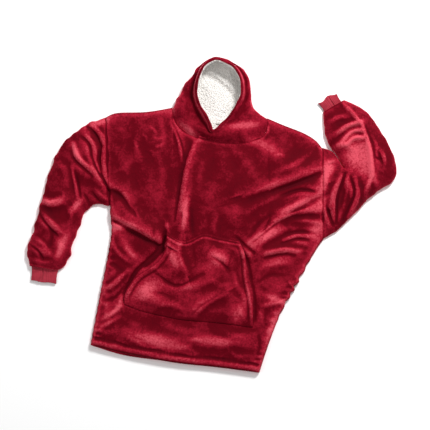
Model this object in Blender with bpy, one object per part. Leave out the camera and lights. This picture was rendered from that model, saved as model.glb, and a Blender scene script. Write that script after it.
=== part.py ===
"""Wearable blanket hoodie, laid flat on its back with one forearm folded up.

Frame: X runs across the garment, Y from hem to hood, Z up from the surface it lies on.
Tables are in millimetres and are turned to metres where they are used.
"""

import math

import bmesh
import bpy
import numpy as np

MM = 0.001

# Cloth
SEAM_GAP = 0.4  # between sewn pieces
POCKET_GAP = 1.5  # the pocket lies on the front
BACK_THICK = 12.0  # flannel backed with sherpa pile
BACK_BEVEL = 3.0
FRONT_WALL_MOST = 17.0  # pile that has room to rise
POCKET_WALL = 8.0
POCKET_EDGE = 3.5  # the wall at the seams and mouths, where the cloth is pressed flat
POCKET_ROUNDING = 16.0
POCKET_UNDER_FOLDS = 6.0  # how far the cloth thickens under its own folds
HOOD_WALL = 4.0
HOOD_LINING = 5.0
LINING_GAP = 0.9
SLEEVE_SLIT = 3.2  # the two layers of a sleeve nearly touch
SLEEVE_WALL = 12.0  # from the fold at a sleeve's side to the hollow inside
SLEEVE_SEAT = 0.32  # height of the side folds, as a share of the sleeve's height
CUFF_WALL = 3.2
CUFF_RIB = 1.5
CUFF_SLIT = 3.4
CUFF_RIBS = 27
CUFF_RUNS = (0.0, 0.12, 0.88, 1.0)  # rings of a cuff along its length
CUFF_END_RIB = 0.45  # ribs are this low at the cuff's two ends
NECK_LINING = 2.6

# Rounding of the laid edges and shallowness of the seams
EDGE_RADIUS = 34.0
EDGE_HEIGHT = 5.5
SEAM_DIP = 3.0
SEAM_REACH = 11.0
LOFT = 11.7  # the front panel's own height above the back panel

FOLD_MOST = 26.0  # crossing folds don't stand higher than this, but for a fifth of the rest
FOLD_OVER = 0.2

# Grid sizes
FRONT_COLUMNS = 37
FRONT_ROWS = 31
SLEEVE_STEPS = 3
SLEEVE_ACROSS = 12
HOOD_AROUND = 14
HOOD_ALONG = 13
POCKET_COLUMNS = 20
POCKET_ROWS = 15
FOLD_STEPS = 10
NORMAL_PASSES = 7

# Outlines, x and y, each read as one smooth curve through its points
HEM = [(-312, -457), (-190, -466), (-12, -470), (135, -462), (284, -457)]
LEFT_SIDE = [(-312, -457), (-310, -338), (-308, -263), (-304, -78), (-316, -10), (-328, 33)]
RIGHT_SIDE = [(284, -457), (301, -352), (326, -238), (359, -147), (396, -44), (430, 38)]
LEFT_ARMHOLE = [(-328, 33), (-392, 340)]
RIGHT_ARMHOLE = [(430, 38), (378, 356)]
LEFT_SHOULDER = [(-392, 340), (-354, 362), (-254, 382), (-164, 412)]
RIGHT_SHOULDER = [(171, 428), (231, 413), (300, 398), (346, 380), (378, 356)]
FRONT_NECK = [(-164, 412), (-150, 366), (-114, 334), (-60, 320), (-14, 316), (54, 319), (126, 338),
              (172, 370), (171, 428)]
BACK_NECK = [(-164, 412), (-100, 392), (-20, 385), (70, 390), (171, 428)]
BACK_HEM_DROP = 9.0  # the back hem shows below the front hem towards the right side seam

# Large folds of the front and sleeves: x and y of the start, the middle and the end, then the rise, and
# the width to the left and to the right of the line as it runs
FOLDS = [
    (-160, 372, -112, 262, -98, 200, 9, 26, 30),
    (-62, 300, -80, 190, -70, 60, 17, 46, 15),
    (-72, 110, -72, 60, -50, -18, 15, 24, 36),
    (-330, 6, -228, -26, -112, -70, 20, 46, 12),
    (-342, 108, -290, 92, -246, 40, 12, 34, 14),
    (-300, 330, -210, 290, -150, 210, 7, 45, 55),
    (-250, 190, -190, 120, -160, 40, 7, 50, 50),
    (392, 290, 300, 236, 132, 148, 15, 16, 42),
    (400, 218, 330, 160, 240, 60, 16, 20, 38),
    (414, 140, 330, 118, 262, 76, 15, 14, 30),
    (300, 62, 232, 12, 186, -46, 16, 22, 30),
    (340, -22, 262, -34, 200, -60, 11, 20, 30),
    (20, 180, 12, 130, 6, 90, 8, 40, 40),
    (96, 110, 112, 70, 120, 24, 8, 34, 34),
    (190, 330, 250, 280, 330, 270, 8, 40, 40),
    (330, -130, 300, -160, 270, -240, 9, 24, 34),
    (-290, -180, -262, -230, -250, -300, 8, 30, 30),
    (-250, -380, -120, -400, 0, -392, 7, 26, 26),
    (40, -380, 140, -372, 240, -350, 9, 24, 24),
    (-448, 268, -424, 200, -352, 100, 15, 15, 34),
    (-480, 216, -455, 150, -396, 130, 10, 24, 24),
    (-520, 150, -500, 60, -455, 20, 9, 30, 34),
    (-566, 20, -528, 4, -486, 20, 9, 18, 14),
    (-570, -40, -532, -66, -490, -84, 10, 20, 14),
    (-586, -140, -544, -160, -490, -172, 9, 18, 16),
    (455, 262, 446, 190, 462, 96, 14, 16, 26),
    (482, 254, 512, 190, 500, 112, 15, 22, 16),
    (540, 262, 552, 236, 536, 190, 9, 18, 20),
    (428, 520, 490, 462, 522, 400, 13, 26, 26),
    (522, 400, 548, 340, 560, 270, 13, 24, 30),
    (404, 396, 450, 440, 492, 452, 9, 14, 16),
    (416, 356, 470, 400, 508, 410, 8, 16, 16),
    (566, 392, 586, 356, 600, 318, 8, 18, 18),
]

# Pocket: outline and its own folds
POCKET_TOP = [(-113, -25), (-49, -46), (12, -9), (73, -12), (140, -14)]
POCKET_LEFT = [(-217, -300), (-220, -262), (-192, -196), (-133, -140), (-108, -84), (-113, -25)]
POCKET_RIGHT = [(236, -306), (221, -226), (190, -143), (170, -66), (140, -14)]
POCKET_BOTTOM = [(-217, -300), (-155, -312), (-76, -317), (-5, -319), (110, -310), (236, -306)]
POCKET_MOUTH_LIFT = 3.2
POCKET_MOUTH_REACH = 46.0
POCKET_FOLDS = [
    (-62, -20, -60, -80, -10, -150, 11, 20, 26),
    (-130, -170, -50, -190, 24, -160, 8, 22, 26),
    (30, -300, 62, -246, 116, -204, 10, 24, 18),
    (40, -70, 78, -84, 120, -90, 13, 30, 30),
    (130, -180, 150, -230, 168, -280, 7, 26, 26),
    (-180, -230, -120, -262, -60, -270, 7, 24, 24),
]

# Sleeves, one row for each section: x and y of the inner edge, x and y of the outer edge, height of
# the middle
LEFT_PHOTO_SLEEVE = [
    (-328, 33, -392, 340, 25),
    (-367, 32, -447, 309, 28),
    (-394, 18, -497, 264, 30),
    (-413, -12, -536, 200, 30),
    (-414, -48, -553, 130, 29),
    (-425, -84, -563, 54, 29),
    (-432, -120, -569, -24, 30),
    (-434, -162, -577, -100, 31),
    (-446, -200, -585, -172, 30),
    (-470, -220, -568, -220, 24),
]
RIGHT_PHOTO_SLEEVE = [
    (378, 356, 430, 38, 25),
    (410, 334, 474, 76, 29),
    (436, 308, 523, 140, 33),
    (449, 298, 562, 198, 35),
    (456, 294, 604, 244, 36),
    (460, 294, 636, 272, 36),
    (461, 297, 650, 304, 36),
    (459, 301, 644, 336, 36),
    (452, 308, 625, 368, 36),
    (434, 330, 594, 412, 36),
    (403, 367, 549, 462, 36),
    (378, 420, 500, 506, 35),
    (362, 480, 424, 530, 26),
]

# Cuffs: inner and outer corner beside the sleeve, then inner and outer corner at the free end
LEFT_PHOTO_CUFF = ((-474, -220.1), (-562, -220.1), (-472, -265), (-556, -269))
RIGHT_PHOTO_CUFF = ((365.9, 483.3), (420.9, 527.7), (337, 510), (396, 558))

# Hood, one row for each section from the crown round to the front: point on the neck seam, on the
# side and on the crest, depth of the dip between crest and rim, point on the rim
HOOD_LEFT = [
    ((-22, 389, 0), (-41, 604, 26), (-41, 607, 52), 0, (-39, 602, 70)),
    ((-60, 393, 0), (-97, 561, 22), (-100, 560, 46), 1, (-80, 572, 68)),
    ((-104, 398, 0), (-136, 503, 16), (-124, 506, 42), 8, (-96, 522, 62)),
    ((-138, 410, 0), (-156, 446, 16), (-140, 452, 46), 13, (-95, 472, 56)),
    ((-158, 404, 25), (-155, 416, 40), (-134, 424, 52), 13, (-78, 432, 52)),
    ((-146, 366, 27), (-136, 378, 40), (-112, 386, 46), 14, (-50, 398, 48)),
    ((-110, 337, 27), (-96, 350, 38), (-74, 357, 41), 9, (-31, 372, 44)),
    ((-60, 325, 27), (-48, 334, 36), (-38, 339, 39), 4, (-22, 352, 42)),
    ((-15, 320, 27), (-15, 325, 34), (-15, 331, 38), 0, (-15, 344, 41)),
]
HOOD_RIGHT = [
    ((-22, 389, 0), (-41, 604, 26), (-41, 607, 52), 0, (-39, 602, 70)),
    ((20, 390, 0), (40, 588, 24), (40, 590, 48), 0, (24, 586, 68)),
    ((70, 394, 0), (86, 545, 18), (84, 547, 44), 2, (60, 545, 62)),
    ((112, 412, 2), (106, 478, 14), (102, 480, 42), 6, (72, 490, 56)),
    ((158, 424, 20), (126, 440, 34), (104, 440, 48), 8, (58, 446, 52)),
    ((166, 384, 27), (130, 402, 42), (90, 406, 46), 8, (42, 408, 48)),
    ((124, 341, 27), (94, 358, 40), (66, 366, 43), 6, (18, 374, 44)),
    ((54, 323, 27), (40, 334, 37), (28, 341, 40), 3, (2, 354, 42)),
    ((-13, 320, 27), (-13, 325, 34), (-13, 331, 38), 0, (-13, 344, 41)),
]
HALF_GAP = 1.0  # each half of the hood stops this far from the crown and front seam
HOOD_MIDDLE = (-15.0, 460.0, 120.0)  # a place inside the hood, above its face opening
SECTION_STEPS = 4

# Lining of the back, seen in the neck
NECK_PATCH = [(-112, 380), (-60, 378), (20, 378), (110, 384), (96, 352), (40, 336), (-14, 331),
              (-70, 338)]

# Surface colours: linear red, green and blue, then roughness
FLANNEL = ((0.21, 0.005, 0.012), 0.75)
RIB_KNIT = ((0.36, 0.022, 0.045), 0.85)
SHERPA = ((0.86, 0.83, 0.79), 0.95)


def smooth_curve(points, count):
    """Evenly spaced points on one smooth curve through the given ones, in two or more dimensions."""
    knots = np.array(points, float)
    if len(knots) == 2:
        share = np.linspace(0, 1, count)[:, None]
        return knots[0] * (1 - share) + knots[1] * share
    ends = np.vstack([2 * knots[0] - knots[1], knots, 2 * knots[-1] - knots[-2]])
    dense = []
    for i in range(1, len(ends) - 2):
        before, start, stop, after = ends[i - 1:i + 3]
        for t in np.linspace(0, 1, 17)[:-1]:
            dense.append(0.5 * (2 * start + (stop - before) * t
                                + (2 * before - 5 * start + 4 * stop - after) * t ** 2
                                + (3 * start - before - 3 * stop + after) * t ** 3))
    dense.append(knots[-1])
    dense = np.array(dense)
    run = np.concatenate([[0], np.cumsum(np.linalg.norm(np.diff(dense, axis=0), axis=1))])
    at = np.linspace(0, run[-1], count)
    return np.stack([np.interp(at, run, column) for column in dense.T], axis=1)


def table_curve(rows, steps):
    """Every column of a table drawn as a smooth function of the row, with the rows kept as they are."""
    knots = np.array(rows, float)
    ends = np.vstack([2 * knots[0] - knots[1], knots, 2 * knots[-1] - knots[-2]])
    made = []
    for i in range(1, len(ends) - 2):
        before, start, stop, after = ends[i - 1:i + 3]
        for t in np.linspace(0, 1, steps + 1)[:-1]:
            made.append(0.5 * (2 * start + (stop - before) * t
                               + (2 * before - 5 * start + 4 * stop - after) * t ** 2
                               + (3 * start - before - 3 * stop + after) * t ** 3))
    made.append(knots[-1])
    return np.array(made)


def joined(*runs):
    """Curves end to end, without the doubled points where they meet."""
    out = [np.array(runs[0])]
    for run in runs[1:]:
        out.append(np.array(run)[1:])
    return np.vstack(out)


def respaced(line, count):
    """The same line with this many evenly spaced points."""
    run = np.concatenate([[0], np.cumsum(np.linalg.norm(np.diff(line, axis=0), axis=1))])
    at = np.linspace(0, run[-1], count)
    return np.stack([np.interp(at, run, column) for column in line.T], axis=1)


def coons(bottom, top, left, right):
    """Grid of plan points between four edges: rows run from bottom to top."""
    across = len(bottom)
    up = len(left)
    s = np.linspace(0, 1, across)[None, :, None]
    t = np.linspace(0, 1, up)[:, None, None]
    ruled_t = bottom[None] * (1 - t) + top[None] * t
    ruled_s = left[:, None] * (1 - s) + right[:, None] * s
    corners = (bottom[0] * (1 - s) * (1 - t) + bottom[-1] * s * (1 - t)
               + top[0] * (1 - s) * t + top[-1] * s * t)
    return ruled_t + ruled_s - corners


def line_distance(plan, line):
    """Distance of each plan point to a line, its side, and how far along the nearest place is."""
    best = np.full(plan.shape[:-1], 1e9)
    side = np.zeros_like(best)
    along = np.zeros_like(best)
    pieces = len(line) - 1
    for i in range(pieces):
        start = line[i]
        step = line[i + 1] - start
        length = max(float(step @ step), 1e-9)
        offset = plan - start
        share = np.clip((offset @ step) / length, 0, 1)
        gap = np.linalg.norm(offset - share[..., None] * step, axis=-1)
        turn = step[0] * offset[..., 1] - step[1] * offset[..., 0]
        nearer = gap < best
        best = np.where(nearer, gap, best)
        side = np.where(nearer, np.sign(turn), side)
        along = np.where(nearer, (i + share) / pieces, along)
    return best, side, along


def fold_rise(plan, folds):
    """Height that the folds add: each a rounded ridge along a bent line, uneven on its two sides."""
    rise = np.zeros(plan.shape[:-1])
    for x0, y0, x1, y1, x2, y2, height, left, right in folds:
        line = smooth_curve([(x0, y0), (x1, y1), (x2, y2)], FOLD_STEPS)
        gap, side, along = line_distance(plan, line)
        width = np.where(side > 0, left, right)
        taper = np.clip(np.sin(math.pi * (0.08 + 0.84 * along)), 0, 1) ** 0.7
        rise = np.maximum(rise, 0) + height * taper * np.exp(-(gap / width) ** 2)
    return np.minimum(rise, FOLD_MOST + FOLD_OVER * rise)


def edge_share(distance, radius=EDGE_RADIUS):
    """How far the cloth has risen at this distance from a laid edge, 0 to 1, as a quarter round."""
    inward = np.clip(1 - distance / radius, 0, 1)
    return (1 - inward ** 2.4) ** 0.42


FREE_EDGES = [smooth_curve(HEM, 24), smooth_curve(LEFT_SIDE, 24), smooth_curve(RIGHT_SIDE, 24),
              smooth_curve(LEFT_SHOULDER, 16), smooth_curve(RIGHT_SHOULDER, 16)]
SEWN_EDGES = [smooth_curve(LEFT_ARMHOLE, 3), smooth_curve(RIGHT_ARMHOLE, 3), smooth_curve(FRONT_NECK, 24)]


def front_height(plan):
    """Height of the front's outer face above the surface that the garment lies on."""
    free = np.min([line_distance(plan, edge)[0] for edge in FREE_EDGES], axis=0)
    sewn = np.min([line_distance(plan, edge)[0] for edge in SEWN_EDGES], axis=0)
    share = edge_share(free)
    base = BACK_THICK + SEAM_GAP
    dip = SEAM_DIP * np.clip(1 - sewn / SEAM_REACH, 0, 1)
    body = LOFT + fold_rise(plan, FOLDS)
    return base + EDGE_HEIGHT + (body - EDGE_HEIGHT) * share - dip * share


def shell(name, outer, inner, closed_across=False):
    """One closed wall between two grids of points of the same size."""
    rows, columns = outer.shape[:2]
    mesh = bpy.data.meshes.new(name)
    work = bmesh.new()
    faces_of = []
    for grid in (outer, inner):
        faces_of.append([[work.verts.new(point * MM) for point in row] for row in grid])
    first, second = faces_of
    wrap = columns if closed_across else columns - 1
    for r in range(rows - 1):
        for c in range(wrap):
            d = (c + 1) % columns
            work.faces.new((first[r][c], first[r][d], first[r + 1][d], first[r + 1][c]))
            work.faces.new((second[r][c], second[r + 1][c], second[r + 1][d], second[r][d]))
    for r in (0, rows - 1):
        for c in range(wrap):
            d = (c + 1) % columns
            ring = (first[r][c], second[r][c], second[r][d], first[r][d])
            work.faces.new(ring if r == 0 else ring[::-1])
    if not closed_across:
        for r in range(rows - 1):
            for c in (0, columns - 1):
                ring = (first[r][c], first[r + 1][c], second[r + 1][c], second[r][c])
                work.faces.new(ring if c == 0 else ring[::-1])
    bmesh.ops.triangulate(work, faces=work.faces)
    bmesh.ops.recalc_face_normals(work, faces=work.faces)
    work.to_mesh(mesh)
    work.free()
    return placed(name, mesh)


def slab(name, outline, low, high, bevel=0.0):
    """A flat piece of cloth cut to an outline, its upper edge rounded off by a bevel."""
    mesh = bpy.data.meshes.new(name)
    work = bmesh.new()
    middle = outline.mean(axis=0)
    rings = []
    for height, inset in ((low, 0.0), (high - bevel, 0.0), (high, bevel)):
        ring = []
        for point in outline:
            inward = middle - point
            inward /= np.linalg.norm(inward)
            x, y = point + inward * inset
            ring.append(work.verts.new((x * MM, y * MM, height * MM)))
        rings.append(ring)
    count = len(outline)
    for lower, upper in zip(rings, rings[1:]):
        for i in range(count):
            j = (i + 1) % count
            work.faces.new((lower[i], lower[j], upper[j], upper[i]))
    work.faces.new(rings[0][::-1])
    work.faces.new(rings[-1])
    bmesh.ops.triangulate(work, faces=work.faces, ngon_method="EAR_CLIP")
    bmesh.ops.recalc_face_normals(work, faces=work.faces)
    work.to_mesh(mesh)
    work.free()
    return placed(name, mesh)


def placed(name, mesh):
    """A smooth-shaded object of this mesh in the scene."""
    mesh.shade_smooth()
    made = bpy.data.objects.new(name, mesh)
    bpy.context.scene.collection.objects.link(made)
    return made


def finish(made, look):
    """Give a piece its own material."""
    colour, roughness = look
    material = bpy.data.materials.new(made.name)
    material.use_nodes = True
    shader = material.node_tree.nodes["Principled BSDF"]
    shader.inputs["Base Color"].default_value = (*colour, 1)
    shader.inputs["Roughness"].default_value = roughness
    shader.inputs["Metallic"].default_value = 0
    made.data.materials.append(material)


def back_panel():
    """The back, flat on the surface, its hem a little below the front's."""
    hem = smooth_curve(HEM, 24)
    drop = BACK_HEM_DROP * np.exp(-((hem[:, 0] + 190) / 110) ** 2)
    hem = hem - np.stack([0 * drop, drop], axis=1)
    outline = joined(hem, smooth_curve(RIGHT_SIDE, 16), smooth_curve(RIGHT_ARMHOLE, 8),
                     smooth_curve(RIGHT_SHOULDER, 12)[::-1], smooth_curve(BACK_NECK, 12)[::-1],
                     smooth_curve(LEFT_SHOULDER, 12)[::-1], smooth_curve(LEFT_ARMHOLE, 8)[::-1],
                     smooth_curve(LEFT_SIDE, 16)[::-1])[:-1]
    finish(slab("back_panel", outline, 0.0, BACK_THICK, BACK_BEVEL), FLANNEL)


def front_panel():
    """The front, which rises in folds over the back."""
    hem = smooth_curve(HEM, FRONT_COLUMNS)
    left = respaced(joined(smooth_curve(LEFT_SIDE, 40), smooth_curve(LEFT_ARMHOLE, 40)), FRONT_ROWS)
    right = respaced(joined(smooth_curve(RIGHT_SIDE, 40), smooth_curve(RIGHT_ARMHOLE, 40)), FRONT_ROWS)
    top = respaced(joined(smooth_curve(LEFT_SHOULDER, 40), smooth_curve(FRONT_NECK, 80),
                          smooth_curve(RIGHT_SHOULDER, 40)), FRONT_COLUMNS)
    plan = coons(hem, top, left, right)
    high = front_height(plan)
    floor = BACK_THICK + SEAM_GAP
    wall = np.clip(high - floor, 0, FRONT_WALL_MOST)
    low = np.maximum(floor, high - wall)
    outer = np.concatenate([plan, high[..., None]], axis=2)
    inner = np.concatenate([plan, low[..., None]], axis=2)
    finish(shell("front_panel", outer, inner), FLANNEL)


def pocket():
    """The pouch sewn on the front, its slanted mouths lifted a little."""
    plan = coons(smooth_curve(POCKET_BOTTOM, POCKET_COLUMNS), smooth_curve(POCKET_TOP, POCKET_COLUMNS),
                 smooth_curve(POCKET_LEFT, POCKET_ROWS), smooth_curve(POCKET_RIGHT, POCKET_ROWS))
    mouth_left = line_distance(plan, smooth_curve(POCKET_LEFT, 20))[0]
    mouth_right = line_distance(plan, smooth_curve(POCKET_RIGHT, 20))[0]
    seams = np.minimum(line_distance(plan, smooth_curve(POCKET_TOP, 20))[0],
                       line_distance(plan, smooth_curve(POCKET_BOTTOM, 20))[0])
    mouth = np.minimum(mouth_left, mouth_right)
    sewn = np.clip(seams / POCKET_MOUTH_REACH, 0, 1)
    lift = POCKET_MOUTH_LIFT * sewn * np.clip(1 - mouth / POCKET_MOUTH_REACH, 0, 1) ** 1.5
    low = front_height(plan) + POCKET_GAP + lift
    round_off = edge_share(np.minimum(seams, mouth), POCKET_ROUNDING)
    high = low + POCKET_EDGE + (POCKET_WALL - POCKET_EDGE + fold_rise(plan, POCKET_FOLDS)) * round_off
    low = np.maximum(low, high - POCKET_WALL - POCKET_UNDER_FOLDS)
    outer = np.concatenate([plan, high[..., None]], axis=2)
    inner = np.concatenate([plan, low[..., None]], axis=2)
    finish(shell("pocket", outer, inner), FLANNEL)


def flattened_tube(name, rows, steps, start_gap, end_gap):
    """A sleeve lying flat: sections across it, each a low arch on a flat underside, with a slit inside."""
    table = table_curve(rows, steps)
    centre = (table[:, 0:2] + table[:, 2:4]) / 2
    table[0, 0:4] += np.tile(unit(centre[1] - centre[0]) * start_gap, 2)
    table[-1, 0:4] -= np.tile(unit(centre[-1] - centre[-2]) * end_gap, 2)
    outer = []
    inner = []
    half = SLEEVE_ACROSS
    for inner_x, inner_y, outer_x, outer_y, height in table:
        edge = np.array([inner_x, inner_y])
        across = np.array([outer_x, outer_y]) - edge
        width = np.linalg.norm(across)
        s = -np.cos(np.linspace(0, math.pi, half + 1))
        s = np.sign(s) * np.abs(s) ** 0.9
        plan = edge + across * ((s + 1) / 2)[:, None]
        arch = (1 - np.abs(s) ** 3.2) ** 0.45
        seat = SLEEVE_SEAT * height
        folds = fold_rise(plan, FOLDS) * arch
        top = seat + (height - seat) * arch + folds
        bottom = seat * np.clip((np.abs(s) - 0.9) / 0.1, 0, 1) ** 2
        top_line = np.concatenate([plan, top[:, None]], axis=1)
        bottom_line = np.concatenate([plan, bottom[:, None]], axis=1)[::-1][1:-1]
        outer.append(np.vstack([top_line, bottom_line]))
        share = 1 - 2 * SLEEVE_WALL / width
        inside = edge + across * ((s * share + 1) / 2)[:, None]
        middle = 0.5 * (np.interp(s * share, s, top) + np.interp(s * share, s, bottom))
        slit = (1 - np.abs(s) ** 4) * SLEEVE_SLIT / 2
        top_in = np.concatenate([inside, (middle + slit)[:, None]], axis=1)
        bottom_in = np.concatenate([inside, (middle - slit)[:, None]], axis=1)[::-1][1:-1]
        inner.append(np.vstack([top_in, bottom_in]))
    made = shell(name, np.array(outer), np.array(inner), closed_across=True)
    finish(made, FLANNEL)


def unit(vector):
    """The vector at length one."""
    return vector / np.linalg.norm(vector)


def cuff(name, corners):
    """Ribbed knit band: ribs raised on the outside of a plain flattened tube."""
    near_inner, near_outer, far_inner, far_outer = (np.array(corner, float) for corner in corners)
    count = CUFF_RIBS * 4
    outer = []
    inner = []
    ripple = np.array([0.0, 1.0, 1.0, 0.0] * CUFF_RIBS)
    for share in CUFF_RUNS:
        start = near_inner * (1 - share) + far_inner * share
        stop = near_outer * (1 - share) + far_outer * share
        across = stop - start
        width = np.linalg.norm(across)
        rib = CUFF_RIB * CUFF_END_RIB if share in (0.0, 1.0) else CUFF_RIB
        for ring, wall, ribbed in ((outer, 0.0, 1.0), (inner, CUFF_WALL, 0.0)):
            half_height = CUFF_SLIT / 2 + CUFF_WALL - wall
            reach = width / 2 - CUFF_RIB - wall
            points = []
            for i in range(count):
                angle = 2 * math.pi * (i + 0.5) / count
                x = math.cos(angle)
                y = math.sin(angle)
                side = np.sign(x) * abs(x) ** 0.72
                tall = np.sign(y) * abs(y) ** 0.5
                out = rib * ripple[i] * ribbed
                flat = side * (reach + out * abs(x))
                rise = tall * (half_height + out * min(1.0, abs(y) * 1.6))
                points.append([*(start + across / 2 + unit(across) * flat), rise])
            ring.append(points)
    outer = np.array(outer)
    inner = np.array(inner)
    lift = CUFF_SLIT / 2 + CUFF_WALL + CUFF_RIB
    outer[..., 2] += lift
    inner[..., 2] += lift
    outer[..., 2] = np.maximum(outer[..., 2], 0.0)
    finish(shell(name, outer, inner, closed_across=True), RIB_KNIT)


def surface_normals(grid):
    """Unit normals of a grid of points, evened out so that walls built on them don't cross."""
    along = np.gradient(grid, axis=0)
    across = np.gradient(grid, axis=1)
    normal = np.cross(along, across)
    for _ in range(NORMAL_PASSES):
        normal /= np.maximum(np.linalg.norm(normal, axis=2, keepdims=True), 1e-9)
        wide = np.pad(normal, ((1, 1), (1, 1), (0, 0)), mode="edge")
        normal = (2 * normal + wide[2:, 1:-1] + wide[:-2, 1:-1] + wide[1:-1, 2:] + wide[1:-1, :-2]) / 6
    return normal / np.linalg.norm(normal, axis=2, keepdims=True)


def hood_grid(rows, toward):
    """Outer face of one half of the hood, from its neck seam to its rim, crown first."""
    sections = []
    for seam, side, crest, dip, rim in rows:
        seam, side, crest, rim = (np.array(point, float) for point in (seam, side, crest, rim))
        floor = seam * 0.25 + side * 0.75
        floor[2] = seam[2]
        trough = (crest + rim) / 2
        trough[2] = min(crest[2], rim[2]) - dip
        sections.append(smooth_curve([seam, floor, side, crest, trough, rim], HOOD_ALONG))
    flat = np.array([section.ravel() for section in sections])
    flat = table_curve(flat, SECTION_STEPS)
    keep = np.linspace(0, len(flat) - 1, HOOD_AROUND).round().astype(int)
    grid = flat[keep].reshape(HOOD_AROUND, HOOD_ALONG, 3)
    grid[0, :, 0] += toward * HALF_GAP
    grid[..., 2] = np.maximum(grid[..., 2], 0.0)
    return grid


def hood_half(side_name, rows, toward):
    """One side panel of the hood and the sherpa inside it."""
    grid = hood_grid(rows, toward)
    normal = surface_normals(grid) * toward
    facing = np.sign(np.sum(normal * (np.array(HOOD_MIDDLE) - grid), axis=2, keepdims=True))
    normal = np.where(np.mean(facing) > 0, normal, -normal)
    normal[0, :, 0] = 0.0
    normal[-1, :, 0] = 0.0
    normal /= np.linalg.norm(normal, axis=2, keepdims=True)
    finish(shell("hood_" + side_name + "_panel", grid, grid + normal * HOOD_WALL), FLANNEL)
    near = grid + normal * (HOOD_WALL + LINING_GAP)
    far = grid + normal * (HOOD_WALL + LINING_GAP + HOOD_LINING)
    finish(shell("hood_" + side_name + "_lining", near, far), SHERPA)


def neck_lining():
    """Sherpa on the inside of the back, where the neck shows it."""
    outline = smooth_curve(NECK_PATCH + NECK_PATCH[:1], 40)[:-1]
    low = BACK_THICK + SEAM_GAP
    finish(slab("back_neck_lining", outline[::-1], low, low + NECK_LINING), SHERPA)


def main():
    """Build every piece in an empty scene."""
    for old in list(bpy.data.objects):
        bpy.data.objects.remove(old)
    back_panel()
    front_panel()
    pocket()
    flattened_tube("right_sleeve", LEFT_PHOTO_SLEEVE, SLEEVE_STEPS, SEAM_GAP, SEAM_GAP)
    flattened_tube("left_sleeve", RIGHT_PHOTO_SLEEVE, SLEEVE_STEPS - 1, SEAM_GAP, SEAM_GAP)
    cuff("right_cuff", LEFT_PHOTO_CUFF)
    cuff("left_cuff", RIGHT_PHOTO_CUFF)
    hood_half("right", HOOD_LEFT, -1)
    hood_half("left", HOOD_RIGHT, 1)
    neck_lining()


main()
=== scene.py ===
"""Dressing of a wearable blanket hoodie that lies flat: velvety flannel, sherpa in the hood, rib-knit cuffs."""

import math

import bmesh
import bpy
import numpy as np
from mathutils import Matrix, Vector, noise


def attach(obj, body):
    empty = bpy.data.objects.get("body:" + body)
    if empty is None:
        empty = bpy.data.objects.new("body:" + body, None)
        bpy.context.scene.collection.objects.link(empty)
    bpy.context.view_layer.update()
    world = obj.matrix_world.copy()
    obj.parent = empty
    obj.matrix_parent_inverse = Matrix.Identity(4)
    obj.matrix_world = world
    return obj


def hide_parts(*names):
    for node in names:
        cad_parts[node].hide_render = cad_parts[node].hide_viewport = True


bl_info = {
    "name": "Blanket hoodie, laid flat",
    "version": (1, 0, 0),
    "blender": (4, 5, 0),
    "location": "View3D > Sidebar > Hoodie",
    "description": "Cloth pieces, stitching and stage of a wearable blanket hoodie",
    "category": "Object",
}

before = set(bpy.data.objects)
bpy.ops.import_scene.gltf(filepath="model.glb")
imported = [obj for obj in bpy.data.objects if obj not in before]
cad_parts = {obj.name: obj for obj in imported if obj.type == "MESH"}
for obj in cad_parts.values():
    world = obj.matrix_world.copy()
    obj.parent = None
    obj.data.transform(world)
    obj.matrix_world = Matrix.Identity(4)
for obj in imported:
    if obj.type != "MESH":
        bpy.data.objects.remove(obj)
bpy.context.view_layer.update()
MM = 0.001
HIDDEN_STEP = 4  # the hidden side of a wall has a row for every fourth outer one

# The laid garment, in millimetres: walls and edges
BACK_THICK = 12.0
SEAM_GAP = 0.4
LOFT = 11.7
EDGE_RADIUS = 34.0
EDGE_HEIGHT = 5.5
SIDE_WRAP = 9.0  # how far the front rolls down over the back at the side seams
SIDE_WRAP_REACH = 9.0
SCALLOP = 4.6
SEAM_DIP = 4.0
NECK_TUCK = 6.0  # how far the front's neck edge reaches under the hood
SEAM_TUCK = 6.0  # how far a sleeve's end lies under the edge of the body
BACK_INSET = 5.0
FRONT_SHELL = 5.0
SLEEVE_SHELL = 5.0
POCKET_GAP = 1.5
POCKET_WALL = 8.0
MOUTH_LIFT = 9.0
MOUTH_REACH = 46.0
HEM_DEPTH = 29.0
HOOD_WALL = 4.0
LINING_GAP = 0.9
HOOD_LINING = 5.0
SLEEVE_SLIT = 3.2
CUFF_WALL = 3.2
CUFF_SLIT = 3.4
CUFF_RIB = 1.5

# Outlines in plan, each one smooth curve
HEM = [(-312, -457), (-190, -466), (-12, -470), (135, -462), (284, -457)]
LEFT_SIDE = [(-312, -457), (-310, -338), (-308, -263), (-304, -78), (-316, -10), (-328, 33)]
RIGHT_SIDE = [(284, -457), (301, -352), (326, -238), (359, -147), (396, -44), (430, 38)]
LEFT_ARMHOLE = [(-328, 33), (-392, 340)]
RIGHT_ARMHOLE = [(430, 38), (378, 356)]
LEFT_SHOULDER = [(-392, 340), (-354, 362), (-254, 382), (-164, 412)]
RIGHT_SHOULDER = [(171, 428), (231, 413), (300, 398), (346, 380), (378, 356)]
FRONT_NECK = [(-164, 412), (-150, 366), (-114, 334), (-60, 320), (-14, 316), (54, 319), (126, 338),
              (172, 370), (171, 428)]
BACK_NECK = [(-164, 412), (-100, 392), (-20, 385), (70, 390), (171, 428)]
BACK_HEM_DROP = 9.0
POCKET_TOP = [(-113, -25), (-49, -46), (12, -9), (73, -12), (140, -14)]
POCKET_LEFT = [(-217, -300), (-220, -262), (-192, -196), (-133, -140), (-108, -84), (-113, -25)]
POCKET_RIGHT = [(236, -306), (221, -226), (190, -143), (170, -66), (140, -14)]
POCKET_BOTTOM = [(-217, -300), (-155, -312), (-76, -317), (-5, -319), (110, -310), (236, -306)]

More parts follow.
